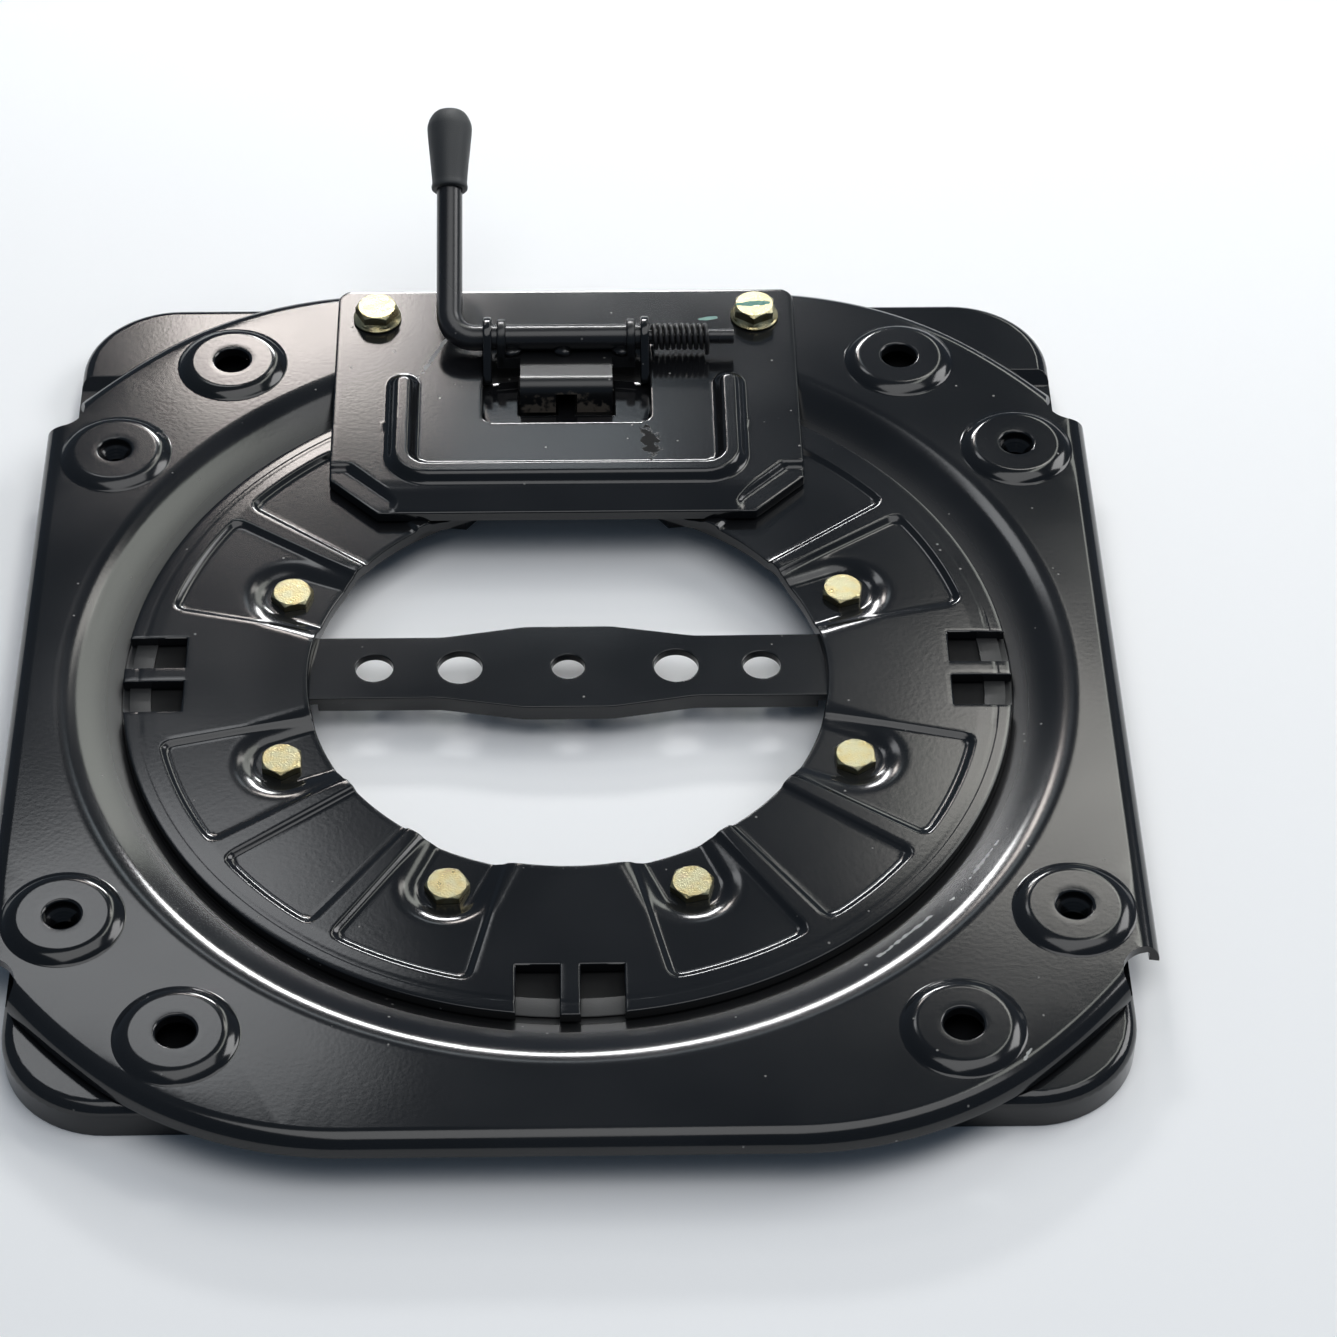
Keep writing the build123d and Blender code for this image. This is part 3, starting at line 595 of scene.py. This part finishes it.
def edge_band(path, flip):
    """The edge profile carried along one run of the outline, mirrored to its side of the plate."""
    grids = []
    for line in edge_profile():
        plan = np.stack([path(inset) * flip + (0, PLATE_Y) for inset in line[:, 0]])
        height = np.broadcast_to(line[:, 1][:, None, None], plan.shape[:2] + (1,))
        grids.append(np.concatenate([plan, height], axis=-1))
    return grids


def relief_arc(count=18):
    """Arc of the right back relief on the flat, from the side edge round to the corner edge."""
    first = side_path(EDGE_R)[-1] - (RELIEF_X, RELIEF_Y)
    last = back_path(EDGE_R)[0] - (RELIEF_X, RELIEF_Y)
    start = math.atan2(first[1], first[0]) + 2 * math.pi
    end = math.atan2(last[1], last[0]) % (2 * math.pi)
    return arc_line(RELIEF_X, RELIEF_Y, RELIEF_R, np.linspace(start, end, count))


def upright(line, low, high):
    """A wall standing on a plan line."""
    z = np.array([high, low])[:, None, None]
    plan = np.broadcast_to(line[None], (2,) + line.shape)
    return surface(np.concatenate([plan, np.broadcast_to(z, plan.shape[:2] + (1,))], axis=-1))


def flat_between(loops):
    """The flat between an outer loop and the loops inside it, at the sheet's top and underside."""
    points = np.vstack(loops)
    start = np.cumsum([0] + [len(loop) for loop in loops])
    rims = [list(range(a, b)) for a, b in zip(start[:-1], start[1:])]
    edges = [(rim[i], rim[(i + 1) % len(rim)]) for rim in rims for i in range(len(rim))]
    plan, _, faces, _, _, _ = geometry.delaunay_2d_cdt([Vector(p) for p in points], edges, [], 0, 1e-6)
    plan = np.array([tuple(p) for p in plan])
    faces = np.array([f for f in faces if len(f) == 3])
    middle = plan[faces].mean(axis=1)
    inside = within(middle, loops[0])
    for loop in loops[1:]:
        inside &= ~within(middle, loop)
    return [(np.column_stack([plan, np.full(len(plan), z)]), faces[inside])
            for z in (PLATE_TOP, PLATE_TOP - PLATE_T)]


def within(points, loop):
    """Which plan points lie inside a closed loop, by counting the sides crossed out along +X."""
    a, b = loop, np.roll(loop, -1, axis=0)
    x, y = points[:, :1], points[:, 1:]
    rise = (a[None, :, 1] > y) != (b[None, :, 1] > y)
    run = np.where(b[:, 1] == a[:, 1], 1e-9, b[:, 1] - a[:, 1])
    cross = a[None, :, 0] + (y - a[None, :, 1]) / run[None, :] * (b[:, 0] - a[:, 0])[None, :]
    return (rise & (cross > x)).sum(axis=1) % 2 == 1


def boss_rings():
    """Raised seat bosses: height eased up from the foot circle to the head, with a lipped hole."""
    rings, loops = [], []
    for x, y, hole in SEAT_HOLES:
        lip = hole + HOLE_RUN
        r = np.unique(np.concatenate([np.linspace(hole, lip, 4), np.linspace(lip, BOSS_FLAT_R, 4),
                                      np.linspace(BOSS_FLAT_R, BOSS_JOIN_R, 40)]))
        rise = BOSS_RISE * (BOSS_FOOT_R - r) / (BOSS_FOOT_R - BOSS_HEAD_R)
        z = PLATE_TOP + soft_min(soft_max(rise, 0.0, BOSS_FILLET), BOSS_RISE, BOSS_ROLL)
        z = z - edge_drop(r - hole, HOLE_DROP, HOLE_RUN)
        for sx, sy in QUADRANTS:
            top = turned(r, z, 72, (sx * x, PLATE_Y + sy * y))
            rings.append(pressed(top, PLATE_T, wrap=True, open_last=True))
            loops.append(top[-1, :, :2])
    return rings, loops


def well_ring():
    """Sunken centre: the top rolls down a shallow wall, and over a lip to the hidden inner rim."""
    r = np.unique(np.concatenate([np.linspace(RIM_R, RIM_END_R, 6),
                                  WALL_FOOT_R + np.linspace(-WALL_LIP, 0.5, 7),
                                  np.linspace(142.5, 152, 12), np.linspace(152.6, WELL_R, 34)]))
    wall = WALL_FOOT + (PLATE_TOP - WALL_FOOT) * (r - WALL_FOOT_R) / (WALL_TOP_R - WALL_FOOT_R)
    z = soft_min(wall, PLATE_TOP, WALL_ROLL)
    z = RIM_TOP + (z - RIM_TOP) * ease((r - WALL_FOOT_R) / WALL_LIP + 1.0)
    top = turned(r, z, 288)
    return pressed(top, PLATE_T, wrap=True, open_last=True), top[-1, :, :2]


def hex_nut(centre, flats, bore, low, high):
    """Hexagon nut ring: the reach follows the hexagon, and the bore is ribbed every second step."""
    turn = full_turn(72)
    flat = hexagon(flats, turn)
    trimmed = np.minimum(flat, flats / 2 * NUT_CORNER)
    rows = [(trimmed, low), (flat, low + NUT_CHAMFER), (flat, high)]
    rows += [(bore - RIB * (k % 2), high - RIB * k) for k in range(int((high - low) / RIB) + 1)]
    return stacked(centre, turn, rows + [(bore, low)])


def upper_plate():
    """Edge bands, relief walls, bosses, sunken centre and nuts, with the flat filled between them."""
    sheets = []
    runs = ((side_path, (1, 1)), (side_path, (-1, 1)), (back_path, (1, 1)), (back_path, (1, -1)))
    for path, flip in runs:
        outer, inner = edge_band(path, flip)
        sheets.append(thick(outer, inner, open_first=True))
    arc, side, back = relief_arc(), side_path(EDGE_R), back_path(EDGE_R)
    for flip in QUADRANTS:
        sheets.append(upright(arc * flip + (0, PLATE_Y), PLATE_TOP - PLATE_T, PLATE_TOP))
    outline = np.vstack([side, arc[1:-1], back, (arc * (-1, 1))[-2:0:-1],
                         -side, (-arc)[1:-1], -back, (arc * (1, -1))[-2:0:-1]])
    rings, loops = boss_rings()
    well, rim = well_ring()
    sheets += rings + [well] + flat_between([outline + (0, PLATE_Y), rim] + loops)
    x, y, _ = SEAT_HOLES[0]
    for sx, sy in QUADRANTS:
        centre = (sx * x, PLATE_Y + sy * y)
        sheets.append(hex_nut(centre, SEAT_NUT_FLATS, SEAT_NUT_BORE, NUT_FOOT, SEAT_NUT_HEAD))
    for sx in (-1, 1):
        centre = (sx * LATCH_BOLT_X, LATCH_BOLT_Y)
        sheets.append(hex_nut(centre, LATCH_NUT_FLATS, LATCH_NUT_BORE, NUT_FOOT, LATCH_NUT_HEAD))
    return sheets


piece("pressed_top_plate", upper_plate(), "turntable", plate_black_painted_shade, ["upper_plate"],
      sharp=40)


# Latch plate
def bead_distance(x, y):
    """Distance from the bead's U-shaped line: two legs joined by rounded corners to a cross run."""
    qx = np.abs(x) - (BEAD_X - BEAD_BEND_R)
    qy = (BEAD_FRONT + BEAD_BEND_R) - y
    outside = np.hypot(np.maximum(qx, 0), np.maximum(qy, 0))
    box = outside + np.minimum(np.maximum(qx, qy), 0) - BEAD_BEND_R
    ends = np.hypot(np.abs(x) - BEAD_X, y - BEAD_END)
    return np.where(y > BEAD_END, ends, np.abs(box))


def latch_height(x, y):
    """Top face of the latch plate: flat, sloped down at the front, with low corners and a bead."""
    lip = LATCH_DROP * (LIP_BACK - y) / (LIP_BACK - LATCH_FRONT)
    out, back = np.abs(x) - LOW_CORNER_X, LOW_CORNER_Y - y
    corner = np.minimum(np.minimum(out, back), (out + back - LOW_CORNER_CUT) / math.sqrt(2))
    low = LATCH_DROP * ease((corner + LOW_CORNER_LEAD) / LOW_CORNER_RUN)
    drop = soft_max(soft_max(lip, low, LIP_FILLET), 0.0, LIP_ROLL)
    bead = BEAD_RISE * ease((BEAD_HALF - bead_distance(x, y)) / BEAD_STEP)
    return LATCH_TOP - np.minimum(drop, LATCH_DROP + DROP_SPARE) + bead


def latch_width_at(y):
    """Half width of the latch plate at a depth: chamfered at the front, rounded at the back corners."""
    front = LATCH_HALF - np.clip(LATCH_CHAMFER - (y - LATCH_FRONT), 0, None)
    into = np.clip(y - (LATCH_BACK - LATCH_CORNER_R), 0, LATCH_CORNER_R)
    back = LATCH_HALF - LATCH_CORNER_R + np.sqrt(np.clip(LATCH_CORNER_R ** 2 - into ** 2, 0, None))
    return np.minimum(front, back)


def window_half_at(y):
    """Half width of the window at a depth: drawn in by a quarter circle at its front corners."""
    into = np.clip(WINDOW_R - (y - WINDOW_FRONT), 0, WINDOW_R)
    corner = WINDOW_R - np.sqrt(WINDOW_R ** 2 - into ** 2)
    return WINDOW_HALF - corner * ease((y - WINDOW_FRONT + WINDOW_EASE) / WINDOW_EASE)


def latch_sheet():
    """The latch plate as a grid of depth lines and width lines, with the window's cells left out."""
    y_marks = [LATCH_FRONT + d for d in (0.3, 0.6, LATCH_CHAMFER)]
    y_marks += [LATCH_BACK - d for d in (0.3, 0.6, 1.5, 2.7)] + [WINDOW_BACK]
    y_marks += [WINDOW_FRONT + d for d in (-0.6, -0.3, 0.0, 0.12, 0.4, 0.9)]
    y = lines(LATCH_FRONT, LATCH_BACK, 1.0, y_marks + list(np.arange(79.75, 94.0, 0.5)))
    x_marks = [WINDOW_HALF + d for d in (0.0, 0.3, 0.6)] + [LATCH_HALF - 0.6, LATCH_HALF - 0.3]
    x_marks += list(np.arange(48.75, 61.5, 0.5))
    x = lines(-LATCH_HALF, LATCH_HALF, 1.0, x_marks + [-v for v in x_marks])
    half, gap = latch_width_at(y)[:, None], window_half_at(y)[:, None]
    reach = np.abs(x)[None, :]
    outer = gap + (reach - WINDOW_HALF) * (half - gap) / (LATCH_HALF - WINDOW_HALF)
    gx = np.sign(x)[None, :] * np.where(reach <= WINDOW_HALF, reach * gap / WINDOW_HALF, outer)
    gy = np.broadcast_to(y[:, None], gx.shape)
    edge = np.minimum(np.minimum(half - np.abs(gx), gy - LATCH_FRONT), LATCH_BACK - gy)
    beside = np.maximum(np.maximum(np.abs(gx) - gap, WINDOW_FRONT - gy), gy - WINDOW_BACK)
    z = latch_height(gx, gy) - edge_drop(np.minimum(edge, np.maximum(beside, 0)))
    mid_x, mid_y = np.abs(x[:-1] + x[1:])[None, :] / 2, (y[:-1] + y[1:])[:, None] / 2
    window = (mid_x < WINDOW_HALF) & (mid_y > WINDOW_FRONT) & (mid_y < WINDOW_BACK)
    return pressed(np.stack([gx, gy, z], axis=-1), LATCH_T, keep=~window)


def lug(side, inner, outer, big, planes, crown):
    """Upright plate about the shaft: rings whose reach follows the outline, with eased edges.

    The outline is a circle of radius big within the crown angle, and the nearest plane elsewhere.
    """
    turn = full_turn(LUG_POINTS)
    dy, dz = np.cos(turn), np.sin(turn)
    reach = np.full(LUG_POINTS, LUG_FAR)
    for ny, nz, c in planes:
        lean = ny * dy + nz * dz
        reach = np.where(lean > 1e-6, np.minimum(reach, c / np.maximum(lean, 1e-6)), reach)
    reach = np.where((turn > 0) & (turn < crown), big, reach)
    hole = np.full(LUG_POINTS, ROD_R + LUG_PLAY)
    most, least = LUG_EDGE, LUG_EDGE_STEP
    rows = [(hole, inner), (reach - most, inner), (reach - least, inner + least), (reach, inner + most),
            (reach, outer - most), (reach - least, outer - least), (reach - most, outer), (hole, outer)]
    rings = [np.stack([np.full(LUG_POINTS, side * x), SHAFT_Y + r * dy, SHAFT_Z + r * dz], axis=-1)
             for r, x in rows]
    return surface(np.stack(rings), wrap_rows=True, wrap_cols=True)


def ear(side):
    """Ear beside the window, with a slanted front edge."""
    planes = ((-math.sqrt(3) / 2, 0.5, EAR_R), (1.0, 0.0, EAR_R),
              (0.0, -1.0, SHAFT_Z - (LATCH_TOP - LATCH_T)), (-1.0, 0.0, EAR_FRONT))
    return lug(side, WINDOW_HALF - LATCH_T, WINDOW_HALF, EAR_R, planes, math.radians(150))


piece("latch_housing", [latch_sheet(), ear(1), ear(-1)], "turntable", latch_black,
      ["latch_plate"], sharp=50)


# Bolts
def hex_head(centre, flats, seat, head, flange=None, turn_by=0.0):
    """Hexagon head: six flats, a shallow cone that trims the corners, and a flat circle on top."""
    turn = full_turn(96)
    flat = hexagon(flats, turn - turn_by)
    corner = flats / 2 / math.cos(math.pi / 6)
    crown = flats / 2 * CROWN_SHARE
    rows = [(CENTRE_R, seat)]
    if flange:
        rows += [(flange - 0.3, seat), (flange, seat + 0.5), (flange, seat + 0.9),
                 (flange - 0.5, seat + 1.3), (flat + 0.5, seat + 1.9), (flat, seat + 2.5)]
    else:
        rows += [(flat, seat)]
    for level in np.linspace(0, 1, 6):
        cone = corner + 0.05 - (corner - crown) * level
        rows.append((np.minimum(flat, cone), seat + head - CONE_SHARE * flats * (1 - level)))
    rows += [(crown - 0.25, seat + head), (CENTRE_R, seat + head)]
    return stacked(centre, turn, rows)


def disc_bolts():
    """Eight bolt heads round the bolt circle, each turned a little differently."""
    angles = np.radians(22.5 + 45.0 * np.arange(8))
    return [hex_head((BOLT_CIRCLE_R * math.cos(a), BOLT_CIRCLE_R * math.sin(a)), DISC_BOLT_FLATS,
                     POCKET_FLOOR, DISC_BOLT_HEAD, turn_by=t) for a, t in zip(angles, DISC_BOLT_TURNS)]


piece("disc_bolt_heads", disc_bolts(), "base", zinc,
      [f"disc_bolt_{k}" for k in range(1, 9)], sharp=25)
for side, x, plating in (("left", -LATCH_BOLT_X, zinc), ("right", LATCH_BOLT_X, marked_zinc)):
    latch_head = hex_head((x, LATCH_BOLT_Y), LATCH_BOLT_FLATS, LATCH_TOP, LATCH_BOLT_HEAD,
                          flange=LATCH_BOLT_FLANGE_R, turn_by=0.2 + 0.004 * x)
    piece(f"latch_bolt_head_{side}", [latch_head], "turntable", plating,
          [f"latch_bolt_{side}"], sharp=25)


# Lever grip
def lever_grip():
    """Grip: a profile turned about the lever, slightly waisted at the neck and domed at the end."""
    s, r = np.array(GRIP_PROFILE).T
    along, rise = math.cos(LEVER_ANGLE), math.sin(LEVER_ANGLE)
    path = np.stack([np.full_like(s, LEVER_X), SHAFT_Y + s * along, SHAFT_Z + s * rise], axis=-1)
    turn = full_turn(64)[:, None]
    ring = np.cos(turn) * np.array([1.0, 0, 0]) + np.sin(turn) * np.array([0, -rise, along])
    return surface(path[:, None] + ring[None] * r[:, None, None], wrap_cols=True)


piece("lever_grip_cap", [lever_grip()], "latch", rubber, ["lever_grip"], sharp=60)


# Return spring
def return_spring():
    """Wire carried along a helix about the shaft, with a straight leg at a tangent at each end."""
    turn = np.linspace(0, SPRING_TURNS * 2 * np.pi, 260)
    coil = np.stack([SPRING_X + SPRING_PITCH * turn / (2 * np.pi), SPRING_R * np.cos(turn),
                     SPRING_R * np.sin(turn)], axis=-1)
    leg = np.linspace(LEG_LENGTH, LEG_START, 8)[:, None]
    first = coil[0] - leg * (0, 0, 1)
    last = coil[-1] - leg[::-1] * (0, 0, LAST_LEG_SHARE)
    path = np.vstack([first, coil, last]) + (0, SHAFT_Y, SHAFT_Z)
    return surface(tube_round(path, WIRE_R, 10), wrap_cols=True)


def tube_round(path, radius, count):
    """A circle carried along a path about the shaft: its frame points away from the shaft."""
    ahead = np.gradient(path, axis=0)
    ahead /= np.linalg.norm(ahead, axis=1)[:, None]
    out = (path - (0, SHAFT_Y, SHAFT_Z)) * (0, 1, 1)
    out -= ahead * (out * ahead).sum(axis=1)[:, None]
    out /= np.linalg.norm(out, axis=1)[:, None]
    side = np.cross(ahead, out)
    turn = full_turn(count)[None, :, None]
    return path[:, None] + radius * (out[:, None] * np.cos(turn) + side[:, None] * np.sin(turn))


piece("return_coil", [return_spring()], "turntable", spring_black, ["return_spring"],
      sharp=60)


# Latch tongue
def lifted(points):
    """Points turned about the shaft by the angle that the latch is lifted."""
    dy, dz = points[..., 1] - SHAFT_Y, points[..., 2] - SHAFT_Z
    y = SHAFT_Y + dy * math.cos(LIFT) + dz * math.sin(LIFT)
    z = SHAFT_Z - dy * math.sin(LIFT) + dz * math.cos(LIFT)
    return np.stack([points[..., 0], y, z], axis=-1)


def tongue_line(offset):
    """Side line of the bent plate: along the web, round the bend, and down the tooth."""
    top = SHAFT_Z - ROD_R
    turn = np.linspace(math.pi / 2, math.pi, 12)
    web = lines(TOOTH_FRONT + TONGUE_BEND, TONGUE_TAIL, 1.0, [SHAFT_Y - CHEEK_R])[:0:-1]
    tooth = np.linspace(top - TONGUE_BEND, TOOTH_TIP, 7)[1:]
    bend = arc_line(TOOTH_FRONT + TONGUE_BEND, top - TONGUE_BEND, TONGUE_BEND - offset, turn)
    return np.vstack([np.stack([web, np.full(len(web), top - offset)], axis=-1), bend,
                      np.stack([np.full(len(tooth), TOOTH_FRONT + offset), tooth], axis=-1)])


def latch_tongue():
    """Bent plate across the shaft, wide at the cheeks, with a slot that parts its two teeth."""
    x = lines(-YOKE_HALF, YOKE_HALF, 1.2, [-TONGUE_HALF, -TOOTH_IN, TOOTH_IN, TONGUE_HALF])
    faces = []
    for offset in (0.0, TONGUE_T):
        side = tongue_line(offset)
        grid = np.empty((len(side), len(x), 3))
        grid[..., 0] = x[None, :]
        grid[..., 1:] = side[:, None, :]
        faces.append(grid)
    mid_x = np.abs(x[:-1] + x[1:])[None, :] / 2
    y, z = faces[0][:, 0, 1], faces[0][:, 0, 2]
    wide = ((y[:-1] + y[1:]) / 2 > SHAFT_Y - CHEEK_R)[:, None]
    tooth = ((z[:-1] + z[1:]) / 2 < SHAFT_Z - ROD_R - TONGUE_BEND)[:, None]
    keep = ((mid_x < TONGUE_HALF) | wide) & ~((mid_x < TOOTH_IN) & tooth)
    planes = ((-1.0, 0.0, CHEEK_R), (1.0, 0.0, TONGUE_TAIL - SHAFT_Y), (0.0, -1.0, ROD_R + TONGUE_T))
    sheets = [thick(faces[0], faces[1], keep=keep)]
    sheets += [lug(side, YOKE_HALF - YOKE_T, YOKE_HALF, CHEEK_R, planes, math.pi) for side in (1, -1)]
    sheets += [weld_bead(x) for x in WELD_PLACES]
    return [(lifted(points), quads) for points, quads in sheets]


def weld_bead(x):
    """Lump of weld beside the shaft: a flattened ball whose radius swells and shrinks round it."""
    rise = np.linspace(-math.pi / 2, math.pi / 2, 12)[:, None]
    turn = full_turn(24)[None, :]
    r = WELD_R + 0.25 * np.sin(3 * turn + x) * np.cos(rise) + 0.2 * np.sin(2 * rise + 2 * x)
    grid = np.stack([x + 1.5 * r * np.cos(rise) * np.cos(turn),
                     SHAFT_Y - WELD_BACK + r * np.cos(rise) * np.sin(turn),
                     SHAFT_Z - WELD_DROP + 0.7 * r * np.sin(rise)], axis=-1)
    return surface(grid, wrap_cols=True)


piece("tongue_plate", latch_tongue(), "latch", tongue_black_painted_light, ["latch_tongue"], sharp=45)


# Solid parts shown as they are; the sheets have rolled edges, of the width given
for name, paint, roll in (("lower_plate", black, 0.7), ("cross_strap", black, 0.8),
                          ("lever_rod", rod_painted_sheen_black, 0.0), ("lower_slide_ring", plastic, 0.0),
                          ("upper_slide_ring", plastic, 0.0)):
    part = nodes[name]
    part.data.materials.clear()
    part.data.materials.append(paint)
    part.data.shade_smooth()
    weld = part.modifiers.new("joined", "WELD")
    weld.merge_threshold = 2e-6
    if roll:
        merge = part.modifiers.new("whole_faces", "DECIMATE")
        merge.decimate_type = "DISSOLVE"
        merge.angle_limit = math.radians(0.5)
        bevel = part.modifiers.new("rolled_edges", "BEVEL")
        bevel.width = roll * 0.001
        bevel.segments = 3
        bevel.limit_method = "ANGLE"
        bevel.angle_limit = math.radians(28)
    normals = part.modifiers.new("flat_faces_lead", "WEIGHTED_NORMAL")
    normals.keep_sharp = True


# Floor, light and camera, in metres
FLOOR_HALF, FLOOR_Z = 6.0, -0.0002


def floor():
    """A plain pale floor under the part."""
    mesh = bpy.data.meshes.new("floor")
    corners = [(FLOOR_HALF * x, FLOOR_HALF * y, FLOOR_Z) for x, y in ((-1, -1), (1, -1), (1, 1), (-1, 1))]
    mesh.from_pydata(corners, [], [(0, 1, 2, 3)])
    made = bpy.data.objects.new("floor", mesh)
    bpy.context.scene.collection.objects.link(made)
    material, n, shader, place = start_material("pale_floor")
    n.join(n.blend(n.noise(place, 3.0), FLOOR_DARK, FLOOR_PALE), shader["Base Color"])
    shader["Roughness"].default_value = 0.9
    mesh.materials.append(material)


def soft_box(name, place, size, power, tint=(1, 1, 1), aim=(0, 0, 0), roll=0.0):
    """A soft lamp that faces a point, rolled by an angle in degrees."""
    lamp = bpy.data.lights.new(name, "AREA")
    lamp.shape = "RECTANGLE"
    lamp.size, lamp.size_y = size
    lamp.energy = power
    lamp.color = tint
    made = bpy.data.objects.new(name, lamp)
    made.location = place
    facing = (Vector(aim) - Vector(place)).to_track_quat("-Z", "Y")
    made.rotation_euler = (facing @ Quaternion((0, 0, 1), math.radians(roll))).to_euler()
    bpy.context.scene.collection.objects.link(made)


floor()
soft_box("overhead", (0.25, -0.35, 2.4), (2.3, 1.6), 24)
soft_box("near_back", (-0.02, 0.92, 0.50), (0.24, 0.08), 3.2, aim=(0, 0, 0.02))
soft_box("tall_window", (0.67, 1.36, 1.53), (0.24, 1.9), 5.6, (0.97, 1.0, 0.92), (-0.14, 0, 0.02), 27.5)
soft_box("right_side", (1.9, 0.9, 1.5), (1.2, 1.0), 20)
soft_box("back_left_low", (-0.28, 2.15, 1.68), (0.24, 0.17), 2.9, (1.0, 0.92, 0.87))
soft_box("back_middle", (-0.02, 2.02, 1.79), (0.22, 0.13), 0.28, (0.84, 0.94, 1.0))
soft_box("back_left_high", (-0.47, 1.52, 2.00), (0.5, 0.32), 1.9, (0.96, 0.98, 1.0))
soft_box("back_right", (0.54, 1.68, 1.92), (0.42, 0.25), 2.0, (1.0, 0.98, 0.92))
world = bpy.data.worlds.new("room")
world.use_nodes = True
world.node_tree.nodes["Background"].inputs["Color"].default_value = (0.095, 0.125, 0.165, 1)
bpy.context.scene.world = world

camera = bpy.data.objects.new("camera", bpy.data.cameras.new("camera"))
camera.data.lens = 104.97
camera.data.sensor_width = 36.0
camera.data.shift_x = 0.0144
camera.data.shift_y = -0.0004
camera.data.clip_end = 50.0
camera.location = (0.002745, -0.862782, 0.895119)
camera.rotation_euler = (math.radians(44.548), math.radians(-0.415), math.radians(-1.094))
bpy.context.scene.collection.objects.link(camera)
bpy.context.scene.camera = camera
bpy.context.scene.view_settings.view_transform = "Standard"
